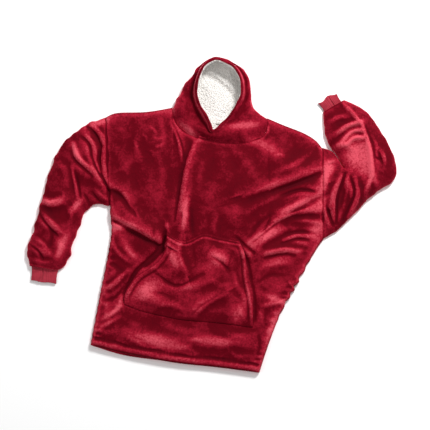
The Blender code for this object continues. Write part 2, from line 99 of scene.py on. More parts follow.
# Large folds: start, middle and end in plan, rise, and width to the left and right of the line
FOLD_COLUMNS = ("x0", "y0", "x1", "y1", "x2", "y2", "rise", "left", "right")
FOLDS = [
    (-160, 372, -112, 262, -98, 200, 9, 26, 30),
    (-62, 300, -80, 190, -70, 60, 17, 46, 15),
    (-72, 110, -72, 60, -50, -18, 15, 24, 36),
    (-330, 6, -228, -26, -112, -70, 20, 46, 12),
    (-342, 108, -290, 92, -246, 40, 12, 34, 14),
    (-300, 330, -210, 290, -150, 210, 7, 45, 55),
    (-250, 190, -190, 120, -160, 40, 7, 50, 50),
    (392, 290, 300, 236, 132, 148, 15, 16, 42),
    (400, 218, 330, 160, 240, 60, 16, 20, 38),
    (414, 140, 330, 118, 262, 76, 15, 14, 30),
    (300, 62, 232, 12, 186, -46, 16, 22, 30),
    (340, -22, 262, -34, 200, -60, 11, 20, 30),
    (20, 180, 12, 130, 6, 90, 8, 40, 40),
    (96, 110, 112, 70, 120, 24, 8, 34, 34),
    (190, 330, 250, 280, 330, 270, 8, 40, 40),
    (330, -130, 300, -160, 270, -240, 9, 24, 34),
    (-290, -180, -262, -230, -250, -300, 8, 30, 30),
    (-250, -380, -120, -400, 0, -392, 7, 26, 26),
    (40, -380, 140, -372, 240, -350, 9, 24, 24),
    (-448, 268, -424, 200, -352, 100, 15, 15, 34),
    (-480, 216, -455, 150, -396, 130, 10, 24, 24),
    (-520, 150, -500, 60, -455, 20, 9, 30, 34),
    (-566, 20, -528, 4, -486, 20, 9, 18, 14),
    (-570, -40, -532, -66, -490, -84, 10, 20, 14),
    (-586, -140, -544, -160, -490, -172, 9, 18, 16),
    (455, 262, 446, 190, 462, 96, 14, 16, 26),
    (482, 254, 512, 190, 500, 112, 15, 22, 16),
    (540, 262, 552, 236, 536, 190, 9, 18, 20),
    (428, 520, 490, 462, 522, 400, 13, 26, 26),
    (522, 400, 548, 340, 560, 270, 13, 24, 30),
    (404, 396, 450, 440, 492, 452, 9, 14, 16),
    (416, 356, 470, 400, 508, 410, 8, 16, 16),
    (566, 392, 586, 356, 600, 318, 8, 18, 18),
]

# Smaller creases, in the same columns. A negative rise is a furrow
CREASES = [
    (-92, 210, -95, 126, -92, 18, -7, 7, 7),
    (-84, 286, -90, 240, -92, 205, -4, 7, 7),
    (-160, 356, -124, 296, -98, 226, 6, 16, 7),
    (-150, 350, -112, 286, -88, 214, -5, 6, 6),
    (-200, 360, -180, 310, -176, 262, 2.5, 12, 14),
    (-330, -14, -228, -44, -120, -84, -5, 10, 9),
    (-338, 88, -290, 72, -250, 30, -4, 8, 9),
    (-300, 60, -262, 20, -214, 0, 3, 12, 14),
    (-270, 300, -262, 240, -232, 190, 3, 16, 18),
    (-340, 240, -300, 190, -270, 120, 3, 18, 20),
    (-190, 240, -160, 170, -150, 100, 3, 16, 16),
    (380, 196, 323, 194, 264, 164, -8, 6, 7),
    (392, 172, 334, 128, 277, 92, -8, 6, 7),
    (392, 190, 340, 150, 290, 112, 6, 9, 9),
    (334, 122, 277, 86, 197, 0, 7, 9, 8),
    (326, 108, 268, 72, 196, -8, -8, 6, 7),
    (376, 40, 335, 33, 296, 13, 6, 8, 8),
    (380, 26, 330, 20, 290, -2, -6, 6, 7),
    (358, -18, 305, -21, 241, -44, 6, 9, 8),
    (340, -36, 300, -38, 240, -60, -6, 6, 7),
    (378, -187, 334, -199, 257, -226, 4, 8, 8),
    (-325, -12, -300, -30, -257, -36, 6, 9, 9),
    (-305, -85, -271, -122, -226, -150, 5, 10, 10),
    (-312, -264, -272, -243, -228, -182, 8, 11, 9),
    (-292, -300, -252, -278, -226, -230, -4, 8, 8),
    (-279, -357, -239, -320, -232, -276, 6, 10, 9),
    (-296, -403, -259, -368, -228, -342, 4, 9, 9),
    (152, 414, 176, 386, 160, 356, 6, 8, 8),
    (384, 262, 300, 212, 220, 168, -5, 8, 9),
    (340, 330, 290, 280, 214, 236, 4, 12, 16),
    (376, 180, 330, 138, 300, 108, -5, 8, 8),
    (420, 90, 370, 92, 320, 84, 4, 9, 12),
    (410, 52, 350, 50, 296, 34, -4, 9, 9),
    (386, 8, 330, 18, 280, 2, 4, 10, 12),
    (250, 160, 190, 120, 150, 84, 4, 14, 18),
    (240, 96, 200, 58, 178, 10, -4, 10, 10),
    (214, 30, 186, -2, 166, -30, 4, 9, 12),
    (130, -6, 160, -26, 200, -50, -7, 7, 6),
    (330, -60, 280, -74, 232, -96, 4, 12, 14),
    (316, -110, 268, -116, 226, -150, -3, 9, 10),
    (290, -200, 262, -232, 250, -290, 3, 12, 14),
    (20, 290, 40, 250, 70, 200, 3, 22, 24),
    (60, 300, 110, 270, 160, 210, 3, 20, 22),
    (-20, 240, -26, 190, -20, 140, 3, 16, 16),
    (50, 60, 46, 20, 60, -8, 3, 12, 14),
    (-40, 60, -30, 10, -20, -20, -4, 9, 9),
    (-120, 10, -116, -10, -112, -26, 5, 10, 10),
    (-160, -20, -150, -60, -122, -90, -4, 10, 10),
    (-280, -90, -230, -120, -190, -130, 3, 14, 16),
    (-300, -150, -262, -176, -232, -190, -3, 10, 12),
    (-300, -260, -280, -300, -276, -350, 3, 12, 14),
    (-290, -400, -262, -404, -236, -396, 3, 10, 12),
    (-200, -350, -170, -362, -140, -366, 3, 14, 14),
    (-60, -346, -10, -356, 40, -350, 3, 14, 14),
    (120, -336, 180, -342, 240, -332, 3, 14, 12),
    (-180, -410, -150, -420, -120, -436, 3, 10, 10),
    (-20, -420, 20, -410, 50, -424, 3, 12, 12),
    (170, -400, 200, -412, 232, -404, 3, 10, 10),
    (262, -330, 270, -370, 264, -410, -3, 8, 8),
    (-452, 300, -411, 268, -391, 232, -9, 6, 7),
    (-390, 240, -389, 186, -369, 130, -10, 6, 7),
    (-372, 136, -346, 98, -330, 46, -11, 6, 7),
    (-434, 306, -394, 270, -376, 226, 8, 9, 12),
    (-376, 220, -372, 180, -356, 136, 7, 8, 10),
    (-463, 256, -436, 238, -416, 192, -8, 6, 6),
    (-420, 200, -386, 144, -352, 104, -10, 6, 7),
    (-446, 262, -418, 236, -402, 196, 7, 7, 8),
    (-486, 230, -464, 183, -396, 138, 8, 9, 10),
    (-492, 214, -472, 172, -402, 126, -6, 7, 7),
    (-478, 146, -464, 109, -440, 42, 7, 9, 7),
    (-466, 132, -452, 100, -430, 44, -7, 6, 6),
    (-394, 70, -366, 44, -338, 36, -8, 6, 6),
    (-384, 84, -356, 60, -334, 54, 5, 8, 8),
    (-420, 60, -402, 36, -396, 20, -5, 6, 7),
    (-540, 150, -500, 130, -480, 60, 5, 14, 16),
    (-566, 24, -540, 6, -500, 24, 6, 12, 12),
    (-562, -34, -538, -61, -486, -100, -8, 6, 7),
    (-560, -20, -528, -46, -480, -84, 6, 10, 12),
    (-470, 10, -452, -20, -450, -60, 5, 10, 12),
    (-520, -70, -506, -110, -512, -150, -4, 9, 9),
    (-490, -110, -470, -140, -476, -186, 5, 12, 12),
    (-578, -145, -540, -166, -524, -190, -7, 6, 6),
    (-574, -118, -536, -134, -506, -160, 6, 10, 11),
    (-560, -194, -530, -200, -492, -196, 5, 9, 9),
    (414, 528, 459, 490, 501, 450, 7, 9, 8),
    (500, 452, 537, 382, 558, 303, 7, 8, 9),
    (559, 312, 559, 268, 546, 221, 6, 8, 8),
    (512, 452, 549, 384, 570, 300, -5, 7, 8),
    (424, 412, 456, 443, 495, 462, 7, 8, 6),
    (432, 402, 464, 432, 500, 450, -6, 6, 6),
    (444, 394, 472, 426, 511, 432, 7, 8, 6),
    (452, 384, 480, 416, 512, 420, -6, 6, 6),
    (458, 374, 480, 402, 507, 408, 6, 8, 6),
    (412, 350, 440, 372, 486, 366, 5, 14, 12),
    (390, 450, 420, 470, 446, 470, 5, 10, 10),
    (470, 276, 455, 190, 466, 100, -13, 6, 7),
    (458, 262, 440, 186, 452, 108, 7, 8, 9),
    (490, 266, 511, 206, 488, 114, -12, 7, 6),
    (480, 262, 484, 190, 474, 118, 6, 9, 9),
    (506, 268, 526, 206, 506, 128, 7, 8, 9),
    (422, 150, 442, 118, 458, 90, -9, 6, 7),
    (410, 156, 428, 118, 444, 84, 6, 8, 8),
    (572, 370, 582, 350, 594, 328, -7, 6, 6),
    (584, 372, 594, 356, 600, 336, 5, 7, 8),
    (562, 352, 576, 344, 590, 346, -4, 5, 5),
    (600, 240, 580, 262, 566, 292, 4, 12, 12),
    (400, 300, 404, 262, 404, 220, 7, 14, 16),
]

# Troughs that the pocket's mouths press into the front
MOUTH_TROUGHS = [
    (-118, -20, -122, -84, -168, -150, -20, 9, 12),
    (-150, -130, -196, -176, -226, -262, -12, 9, 8),
    (150, -30, 182, -86, 204, -140, -5, 8, 5),
    (196, -130, 222, -190, 240, -280, -4, 8, 5),
]

POCKET_FOLDS = [
    (-60, -24, -62, -90, -22, -160, 15, 13, 30),
    (-150, -150, -110, -170, -70, -150, 7, 20, 24),
    (20, -304, 60, -246, 124, -200, 13, 26, 15),
    (-40, -216, 20, -190, 80, -160, 8, 20, 16),
    (40, -70, 78, -84, 120, -90, 13, 30, 30),
    (130, -180, 150, -230, 168, -280, 7, 26, 26),
    (-180, -230, -120, -262, -60, -270, 7, 24, 24),
]
SQUIGGLES = [
    (-232, 330, -216, 322, -206, 310, 2.2, 4, 5),
    (-252, 300, -240, 292, -236, 278, 1.8, 4, 5),
    (-176, 280, -186, 268, -200, 266, 2.4, 4, 4),
    (-210, 296, -198, 290, -184, 296, 1.6, 4, 4),
    (-226, 250, -210, 244, -204, 232, 1.6, 5, 5),
    (-280, 270, -268, 258, -262, 240, 2.0, 5, 6),
    (214, 300, 236, 306, 250, 300, 1.8, 5, 5),
    (-250, -300, -238, -308, -222, -306, 1.8, 5, 5),
    (30, -384, 48, -378, 70, -380, 1.8, 5, 6),
    (250, -250, 262, -262, 264, -280, 2.0, 5, 6),
    (-500, 60, -490, 44, -494, 26, 2.0, 5, 5),
    (540, 420, 560, 400, 566, 380, 2.0, 5, 6),
]
POCKET_CREASES = [
    (-128, -173, -48, -206, 34, -150, -6, 8, 9),
    (61, -89, 90, -100, 124, -124, -6, 7, 7),
    (20, -298, 46, -262, 110, -206, -4, 8, 7),
    (-90, -60, -88, -100, -60, -140, 4, 12, 14),
    (-20, -40, -10, -80, 6, -120, -3, 10, 10),
    (90, -30, 130, -50, 160, -60, 3, 10, 12),
    (60, -160, 100, -180, 150, -170, 3, 12, 14),
    (-160, -250, -100, -240, -50, -250, -3, 12, 12),
    (-100, -290, -60, -270, -10, -280, 3, 12, 12),
    (140, -130, 160, -170, 190, -210, 4, 10, 12),
    (180, -250, 196, -270, 210, -296, 3, 10, 10),
]

SLEEVE_COLUMNS = ("inner_x", "inner_y", "outer_x", "outer_y", "height")
LEFT_PHOTO_SLEEVE = [
    (-328, 33, -392, 340, 25),
    (-367, 32, -447, 309, 28),
    (-394, 18, -497, 264, 30),
    (-413, -12, -536, 200, 30),
    (-414, -48, -553, 130, 29),
    (-425, -84, -563, 54, 29),
    (-432, -120, -569, -24, 30),
    (-434, -162, -577, -100, 31),
    (-446, -200, -585, -172, 30),
    (-470, -220, -568, -220, 24),
]
RIGHT_PHOTO_SLEEVE = [
    (378, 356, 430, 38, 25),
    (417, 347, 474, 76, 29),
    (443, 319, 523, 140, 33),
    (453, 303, 562, 198, 35),
    (456, 294, 604, 244, 36),
    (460, 294, 636, 272, 36),
    (461, 297, 650, 304, 36),
    (459, 301, 644, 336, 36),
    (450, 312, 627, 372, 36),
    (426, 342, 597, 417, 36),
    (395, 375, 552, 468, 36),
    (374, 424, 503, 512, 35),
    (361, 482, 428, 536, 26),
]
LEFT_PHOTO_CUFF = ((-467, -218), (-562, -218), (-465, -266), (-556, -269))
CUFF_SEAM_DEPTH = 3.0
RIGHT_PHOTO_CUFF = ((365.9, 483.3), (420.9, 527.7), (337, 510), (396, 558))

HOOD_COLUMNS = ("seam", "side", "crest", "dip", "rim")
HOOD_LEFT = [
    ((-22, 389, 0), (-41, 604, 26), (-41, 607, 52), 0, (-39, 602, 70)),
    ((-60, 393, 0), (-97, 561, 22), (-100, 560, 46), 1, (-80, 572, 68)),
    ((-104, 398, 0), (-136, 503, 16), (-124, 506, 42), 8, (-96, 522, 62)),
    ((-138, 410, 0), (-156, 446, 16), (-140, 452, 46), 13, (-95, 472, 56)),
    ((-166, 404, 19), (-155, 416, 40), (-134, 424, 52), 13, (-78, 432, 52)),
    ((-154, 361, 19), (-136, 378, 40), (-112, 386, 46), 14, (-50, 398, 48)),
    ((-116, 330, 19), (-96, 350, 38), (-74, 357, 41), 9, (-31, 372, 44)),
    ((-61, 317, 20), (-48, 334, 36), (-38, 339, 39), 4, (-22, 352, 42)),
    ((-14, 312, 20), (-14, 325, 34), (-14, 331, 38), 0, (-14, 344, 41)),
]
HOOD_RIGHT = [
    ((-22, 389, 0), (-41, 604, 26), (-41, 607, 52), 0, (-39, 602, 70)),
    ((20, 390, 0), (40, 588, 24), (40, 590, 48), 0, (24, 586, 68)),
    ((70, 394, 0), (86, 545, 18), (84, 547, 44), 2, (60, 545, 62)),
    ((112, 412, 2), (106, 478, 14), (102, 480, 42), 6, (72, 490, 56)),
    ((166, 426, 18), (126, 440, 34), (104, 440, 48), 8, (58, 446, 52)),
    ((176, 382, 19), (130, 402, 42), (90, 406, 46), 8, (42, 408, 48)),
    ((132, 333, 19), (94, 358, 40), (66, 366, 43), 6, (18, 374, 44)),
    ((56, 315, 20), (40, 334, 37), (28, 341, 40), 3, (2, 354, 42)),
    ((-14, 312, 20), (-14, 325, 34), (-14, 331, 38), 0, (-14, 344, 41)),
]
LINING_FOLDS = [
    (-74, 562, -24, 546, 50, 496, 7, 9, 5),
    (-70, 548, -28, 530, 34, 484, -2.5, 7, 7),
    (-60, 576, -2, 572, 44, 512, 9, 16, 14),
    (8, 524, 20, 508, 32, 488, -2.5, 12, 10),
    (-70, 520, -40, 480, -30, 430, 5, 18, 20),
    (30, 470, 10, 440, 0, 408, 5, 16, 18),
    (-60, 410, -20, 404, 30, 402, 4, 9, 12),
]
NECK_PATCH = [(-118, 396), (-76, 412), (-50, 420), (-24, 414), (6, 420), (40, 412), (114, 400), (100, 356),
              (44, 336), (-14, 331), (-76, 338)]

# Painted sheen: brushed patches painted lighter where the pile catches the light: centre, half sizes, turn in degrees,
# strength
SHEEN_COLUMNS = ("x", "y", "long", "short", "turn", "strength")
SHEEN_PATCHES = [
    (500, 352, 62, 44, 100, 1.25),
    (468, 424, 52, 26, 60, 0.7),
    (412, 280, 34, 17, 75, 1.3),
    (560, 300, 60, 30, 100, 0.6),
    (400, 60, 34, 22, 60, 0.9),
    (400, 190, 80, 22, 95, 0.5),
    (352, 150, 80, 14, 25, 0.7),
    (230, 20, 70, 16, 45, 0.7),
    (280, -60, 60, 18, 20, 0.5),
    (297, -195, 50, 12, 170, 0.7),
    (300, -290, 60, 12, 80, 0.7),
    (74, -80, 36, 20, -20, 0.5),
    (60, -120, 40, 30, 40, 0.4),
    (-60, 40, 70, 10, 90, 0.7),
    (-75, -115, 44, 20, 110, 0.7),
    (-150, -235, 62, 30, 50, 0.9),
    (-284, -36, 42, 14, 10, 0.9),
    (-240, -100, 50, 12, 130, 0.6),
    (-90, -408, 100, 24, 175, 0.7),
    (120, -372, 110, 20, 5, 0.4),
    (-250, -330, 60, 24, 60, 0.6),
    (190, -240, 60, 20, 75, 0.6),
    (-415, 318, 40, 18, 20, 1.0),
    (-470, 200, 34, 12, 130, 0.8),
    (-440, 16, 30, 12, 60, 0.9),
    (-466, -130, 42, 14, 80, 0.8),
    (-530, 20, 44, 12, 20, 0.5),
    (85, 384, 60, 14, 15, 0.9),
    (-100, 342, 40, 12, 150, 0.7),
    (180, 330, 60, 18, 160, 0.5),
    (-180, 300, 70, 26, 110, 0.2),
    (-20, -230, 90, 40, 10, 0.3),
]

# Share of the painted highlight on crests and the painted shade in troughs
CREST_HIGHLIGHT_SHARE = 0.62
STEEP_SHEEN_SHARE = 1.5  # painted sheen: steep cloth is painted lighter, like pile seen from the side

# Photo frame
MM_PER_PIXEL = 3.5
PHOTO_SIDE = 430
PHOTO_TURN = math.radians(9.25)  # the garment's own Y leans this far clockwise from the photo's up
VIEW_CENTRE = (0.0434, 0.0603, 0.02)
CAMERA_DISTANCE = 4.6
CAMERA_ELEVATION = math.radians(86)
SENSOR = 36.0


def to_linear(value):
    """sRGB hex, such as 7a0a1c, as linear red, green, blue and alpha."""
    parts = [int(value[i:i + 2], 16) / 255 for i in (0, 2, 4)]
    return (*[c / 12.92 if c <= 0.04045 else ((c + 0.055) / 1.055) ** 2.4 for c in parts], 1.0)


class HoodieCloth(bpy.types.PropertyGroup):
    """Colours and small sizes of the cloth."""
    flannel: bpy.props.StringProperty(name="Flannel", description="Colour of the pile, sRGB hex", default="5e0110")
    # Painted highlight: the flannel's lightest colour, reached where sheen is painted
    flannel_highlight: bpy.props.StringProperty(
        name="Brushed flannel", description="Colour where the pile is brushed up, sRGB hex", default="cc4a5a")
    sheen: bpy.props.StringProperty(name="Sheen", description="Tint of the pile's sheen, sRGB hex", default="ff96a2")
    rib: bpy.props.StringProperty(name="Rib knit", description="Colour of the cuffs, sRGB hex", default="a52b3c")
    sherpa: bpy.props.StringProperty(name="Sherpa", description="Colour of the lining, sRGB hex", default="e8e5e1")
    thread: bpy.props.StringProperty(name="Thread", description="Colour of the stitching, sRGB hex", default="6a0818")
    stitch_length: bpy.props.FloatProperty(
        name="Stitch length", description="Length of one topstitch", default=0.0045, unit="LENGTH")
    stitch_gap: bpy.props.FloatProperty(
        name="Stitch pitch", description="From one topstitch to the next", default=0.0075, unit="LENGTH")
    tuft: bpy.props.FloatProperty(
        name="Sherpa curl", description="Radius of one curl of pile", default=0.0035, unit="LENGTH")
    tuft_spacing: bpy.props.FloatProperty(
        name="Curl spacing", description="Least distance between curls", default=0.0031, unit="LENGTH")


class HoodieStage(bpy.types.PropertyGroup):
    """Floor and lights."""
    floor: bpy.props.StringProperty(name="Floor", description="Colour of the floor, sRGB hex", default="fbfbfb")
    key: bpy.props.FloatProperty(name="Key light", description="Power of the main light", default=134.0, unit="POWER")
    fill: bpy.props.FloatProperty(name="Fill", description="Strength of the even light around", default=0.5)


def smooth_curve(points, count):
    """Evenly spaced points on one smooth curve through the given ones."""
    knots = np.array(points, float)
    if len(knots) == 2:
        share = np.linspace(0, 1, count)[:, None]
        return knots[0] * (1 - share) + knots[1] * share
    dense = table_curve(knots, 16)
    return respaced(dense, count)


def table_curve(rows, steps):
    """Every column of a table as a smooth function of the row."""
    knots = np.array(rows, float)
    ends = np.vstack([2 * knots[0] - knots[1], knots, 2 * knots[-1] - knots[-2]])
    made = []
    for i in range(1, len(ends) - 2):
        before, start, stop, after = ends[i - 1:i + 3]
        t = np.linspace(0, 1, steps + 1)[:-1, None]
        made.append(0.5 * (2 * start + (stop - before) * t
                           + (2 * before - 5 * start + 4 * stop - after) * t ** 2
                           + (3 * start - before - 3 * stop + after) * t ** 3))
    made.append(knots[-1:])
    return np.vstack(made)


def joined(*runs):
    return np.vstack([runs[0]] + [run[1:] for run in runs[1:]])


def respaced(line, count):
    run = np.concatenate([[0], np.cumsum(np.linalg.norm(np.diff(line, axis=0), axis=1))])
    at = np.linspace(0, run[-1], count)
    return np.stack([np.interp(at, run, column) for column in line.T], axis=1)


def coons(bottom, top, left, right):
    """Grid of plan points between four edges: rows run from bottom to top."""
    s = np.linspace(0, 1, len(bottom))[None, :, None]
    t = np.linspace(0, 1, len(left))[:, None, None]
    ruled_t = bottom[None] * (1 - t) + top[None] * t
    ruled_s = left[:, None] * (1 - s) + right[:, None] * s
    corners = (bottom[0] * (1 - s) * (1 - t) + bottom[-1] * s * (1 - t)
               + top[0] * (1 - s) * t + top[-1] * s * t)
    return ruled_t + ruled_s - corners


def line_distance(plan, line):
    """Distance of each plan point to a polyline, its side, and how far along the nearest place is."""
    best = np.full(plan.shape[:-1], 1e9)
    side = np.zeros_like(best)
    along = np.zeros_like(best)
    pieces = len(line) - 1
    for i in range(pieces):
        start = line[i]
        step = line[i + 1] - start
        offset = plan - start
        share = np.clip((offset @ step) / max(float(step @ step), 1e-9), 0, 1)
        gap = np.linalg.norm(offset - share[..., None] * step, axis=-1)
        turn = step[0] * offset[..., 1] - step[1] * offset[..., 0]
        nearer = gap < best
        best = np.where(nearer, gap, best)
        side = np.where(nearer, np.sign(turn), side)
        along = np.where(nearer, (i + share) / pieces, along)
    return best, side, along


def fold_field(plan, folds, steps=8):
    """Rise of a set of folds, worked out only near each one."""
    flat = plan.reshape(-1, plan.shape[-1])[:, :2]
    total = np.zeros(len(flat))
    for x0, y0, x1, y1, x2, y2, height, left, right in folds:
        line = smooth_curve([(x0, y0), (x1, y1), (x2, y2)], steps)
        reach = 2.6 * max(left, right)
        low = line.min(axis=0) - reach
        high = line.max(axis=0) + reach
        near = np.nonzero(((flat > low) & (flat < high)).all(axis=1))[0]
        if not len(near):
            continue
        gap, side, along = line_distance(flat[near], line)
        width = np.where(side > 0, left, right)
        taper = np.clip(np.sin(math.pi * (0.08 + 0.84 * along)), 0, 1) ** 0.7
        total[near] += height * taper * np.exp(-(gap / width) ** (2 if height > 0 else 1.35))
    return total.reshape(plan.shape[:-1])


def large_rise(plan, folds):
    rise = fold_field(plan, folds, 10)
    return np.minimum(rise, 26 + 0.2 * rise)


def crumple(plan, seed, scales):
    """Uneven soft dents: smooth noise at a few scales, each (size in mm, height in mm)."""
    flat = plan.reshape(-1, plan.shape[-1])
    total = np.zeros(len(flat))
    for size, height in scales:
        total += height * np.array([noise.noise(Vector((x / size, y / size, seed))) for x, y in flat[:, :2]])
    return total.reshape(plan.shape[:-1])


def edge_share(distance, radius=EDGE_RADIUS):
    inward = np.clip(1 - distance / radius, 0, 1)
    return (1 - inward ** 2.4) ** 0.42


SIDES = [smooth_curve(LEFT_SIDE, 30), smooth_curve(RIGHT_SIDE, 30),
         smooth_curve(LEFT_SHOULDER, 20), smooth_curve(RIGHT_SHOULDER, 20)]
ARMHOLES = [smooth_curve(LEFT_ARMHOLE, 3), smooth_curve(RIGHT_ARMHOLE, 3), smooth_curve(FRONT_NECK, 30)]
HEM_LINE = smooth_curve(HEM, 30)
SOFT_SCALES = ((170, 3.0), (70, 1.1), (28, 0.45), (13, 0.2))


def front_height(plan, detail=True, under_mouths=True):
    """Height of the front's outer face above the surface it lies on."""
    free = np.min([line_distance(plan, edge)[0] for edge in SIDES], axis=0)
    sewn = np.min([line_distance(plan, edge)[0] for edge in ARMHOLES], axis=0)
    hem, _, hem_along = line_distance(plan, HEM_LINE)
    base = BACK_THICK + SEAM_GAP
    body = LOFT + large_rise(plan, FOLDS)
    if detail:
        body = body + fold_field(plan, CREASES + SQUIGGLES) + crumple(plan, 3.7, SOFT_SCALES)
        body = body + hem_form(hem, hem_along) + side_puckers(plan, free)
    if under_mouths:
        body = body + fold_field(plan, MOUTH_TROUGHS)
    share = edge_share(np.minimum(free, hem * 1.4))
    dip = SEAM_DIP * np.clip(1 - sewn / 5.0, 0, 1) ** 1.3
    wrap = SIDE_WRAP * np.clip(1 - free / SIDE_WRAP_REACH, 0, 1) ** 2
    return base + np.maximum(EDGE_HEIGHT + (body - EDGE_HEIGHT) * share - dip * share, 2.5) - wrap


def hem_form(hem, along):
    """The turned-up hem: a puffed band under an uneven stitched furrow, with small gathers along it."""
    wander = 2.2 * np.sin(along * 19) + 1.2 * np.sin(along * 47 + 1)
    line = hem - HEM_DEPTH - wander
    depth = 1.9 + 1.2 * np.sin(along * 33 + 2)
    furrow = depth * np.exp(-(line / 4.0) ** 2)
    band = (4.2 + 1.2 * np.sin(along * 26)) * np.exp(-((hem - HEM_DEPTH * 0.48) / 9.0) ** 2)
    gathers = np.sin(along * 230 + 5.0 * np.sin(along * 37) + 3.0 * np.sin(along * 83)) * np.exp(-(line / 12.0) ** 2)
    return band - furrow + 0.45 * gathers


def side_puckers(plan, free):
    """Small uneven gathers where the side seams pull the cloth."""
    low = np.clip((-40 - plan[..., 1]) / 120, 0, 1)
    uneven = 0.55 + 0.45 * np.sin(plan[..., 1] / 23 + 1.3)
    wave = np.sin(plan[..., 1] / 4.1 + 2.5 * np.sin(plan[..., 1] / 31))
    return 1.7 * wave * low * uneven * np.exp(-((free - 16) / 13) ** 2)


def scalloped(plan):
    """The side seams pull the edges into uneven scallops: large on the wearer's left, slight on the right."""
    gap, _, along = line_distance(plan, SIDES[1])
    window = np.exp(-((along - 0.62) / 0.19) ** 2)
    shift = SCALLOP * np.sin(along * 86 + 1.2 * np.sin(along * 21)) * window * np.exp(-(gap / 30) ** 2)
    left_gap, _, left_along = line_distance(plan, SIDES[0])
    left = 0.9 * np.sin(left_along * 118 + 2 * np.sin(left_along * 17)) * np.exp(-(left_gap / 12) ** 2)
    sleeve = np.minimum(line_distance(plan, ARMHOLES[0])[0], line_distance(plan, ARMHOLES[1])[0])
    seam = 2.4 * np.sin(plan[..., 1] / 33 + 1.2 * np.sin(plan[..., 1] / 14)) * np.exp(-(sleeve / 14) ** 2)
    out = plan.copy()
    out[..., 0] += shift + left + seam
    return out


def add_mesh(name, points, faces, material, smooth=True):
    """A mesh object from points in millimetres."""
    mesh = bpy.data.meshes.new(name)
    mesh.from_pydata((points * MM).tolist(), [], faces)
    mesh.validate()
    work = bmesh.new()
    work.from_mesh(mesh)
    bmesh.ops.recalc_face_normals(work, faces=work.faces)
    work.to_mesh(mesh)
    work.free()
    if smooth:
        mesh.shade_smooth()
    made = bpy.data.objects.new(name, mesh)
    bpy.context.scene.collection.objects.link(made)
    made.data.materials.append(material)
    return made


def grid_faces(rows, columns, start=0, wrap=False, flip=False):
    across = columns if wrap else columns - 1
    r, c = np.meshgrid(np.arange(rows - 1), np.arange(across), indexing="ij")
    d = (c + 1) % columns
    quads = np.stack([r * columns + c, r * columns + d, (r + 1) * columns + d, (r + 1) * columns + c], axis=-1)
    quads = quads.reshape(-1, 4) + start
    return quads[:, ::-1] if flip else quads


def shell(name, outer, inner, material, wrap=False):
    """One closed wall: a fine outer grid, a coarser hidden grid inside it, and the edges that join them."""
    rows, columns = outer.shape[:2]
    inner = inner[::HIDDEN_STEP, ::HIDDEN_STEP]
    inner_rows, inner_columns = inner.shape[:2]
    count = rows * columns
    points = np.vstack([outer.reshape(-1, 3), inner.reshape(-1, 3)])
    faces = grid_faces(rows, columns, 0, wrap).tolist()
    faces += grid_faces(inner_rows, inner_columns, count, wrap, True).tolist()
    fine = np.arange(count).reshape(rows, columns)
    coarse = count + np.arange(inner_rows * inner_columns).reshape(inner_rows, inner_columns)
    rims = [(fine[0], coarse[0]), (fine[-1], coarse[-1])]
    if wrap:
        rims = [(np.append(near, near[0]), np.append(far, far[0])) for near, far in rims]
    else:
        rims += [(fine[:, 0], coarse[:, 0]), (fine[:, -1], coarse[:, -1])]
    for near, far in rims:
        for i in range(len(far) - 1):
            run = near[i * HIDDEN_STEP:(i + 1) * HIDDEN_STEP + 1].tolist()
            faces.append(run + [int(far[i + 1]), int(far[i])])
    return add_mesh(name, points, faces, material)


def lowest(heights, reach, highest=False):
    """Each height replaced by the lowest (or highest) of those near it, so a coarse hidden side stays clear."""
    pick = np.maximum if highest else np.minimum
    wide = np.pad(heights, reach, mode="edge")
    rows, columns = heights.shape
    down = wide[:rows]
    for i in range(1, 2 * reach + 1):
        down = pick(down, wide[i:i + rows])
    across = down[:, :columns]
    for i in range(1, 2 * reach + 1):
        across = pick(across, down[:, i:i + columns])
    return across


def evened(grid, passes, wrap):
    """A grid of heights with each point drawn to its neighbours' mean."""
    for _ in range(passes):
        wide = np.pad(grid, ((1, 1), (0, 0)), mode="edge")
        wide = np.pad(wide, ((0, 0), (1, 1)), mode="wrap" if wrap else "edge")
        grid = (4 * grid + wide[2:, 1:-1] + wide[:-2, 1:-1] + wide[1:-1, 2:] + wide[1:-1, :-2]) / 8
    return grid


def crest_highlight_trough_shade(grid, wrap=False):
    """Painted highlight on crests and painted shade in troughs, about -1 to 1, from a grid of points."""
    height = evened(grid[..., 2], 2, wrap)
    near = height - evened(height, 24, wrap)
    far = height - evened(height, 160, wrap)
    return np.clip(near / 1.1, -1, 1) * 0.5 + np.clip(far / 5.0, -1, 1) * 0.32


def with_sheen_and_shade(made, crest=None, strength=1.0):
    """Paint sheen and shade as a point attribute that the flannel reads: painted sheen on listed patches and steep
    sides, painted highlight on crests and painted shade in troughs.
    """
    points = np.empty(len(made.data.vertices) * 3)
    made.data.vertices.foreach_get("co", points)
    plan = points.reshape(-1, 3)[:, :2] / MM
    total = np.zeros(len(plan))
    for x, y, long_half, short_half, turn, amount in SHEEN_PATCHES:
        angle = math.radians(turn)
        dx = plan[:, 0] - x
        dy = plan[:, 1] - y
        along = (dx * math.cos(angle) + dy * math.sin(angle)) / long_half
        across = (dy * math.cos(angle) - dx * math.sin(angle)) / short_half
        total += amount * np.exp(-(along ** 2 + across ** 2))
    attribute = made.data.attributes.new("sheen_and_shade", "FLOAT", "POINT")
    total = strength * np.clip(total, 0, 1.5)
    if crest is not None:
        # painted highlight on crests, painted shade in troughs
        total[:crest.size] += CREST_HIGHLIGHT_SHARE * crest.ravel()
    normals = np.empty(len(made.data.vertices) * 3)
    made.data.vertices.foreach_get("normal", normals)
    # painted sheen on steep sides
    steep = 1 - np.clip(normals.reshape(-1, 3)[:, 2], 0, 1)
    total += STEEP_SHEEN_SHARE * strength * steep ** 2
    attribute.data.foreach_set("value", total.astype(np.float32))


def cloth_piece(made, slot, nodes, **cut):
    """Put a finished piece on the body and hide the parts of model.glb it stands for."""
    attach(made, "root")
    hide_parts(*nodes)


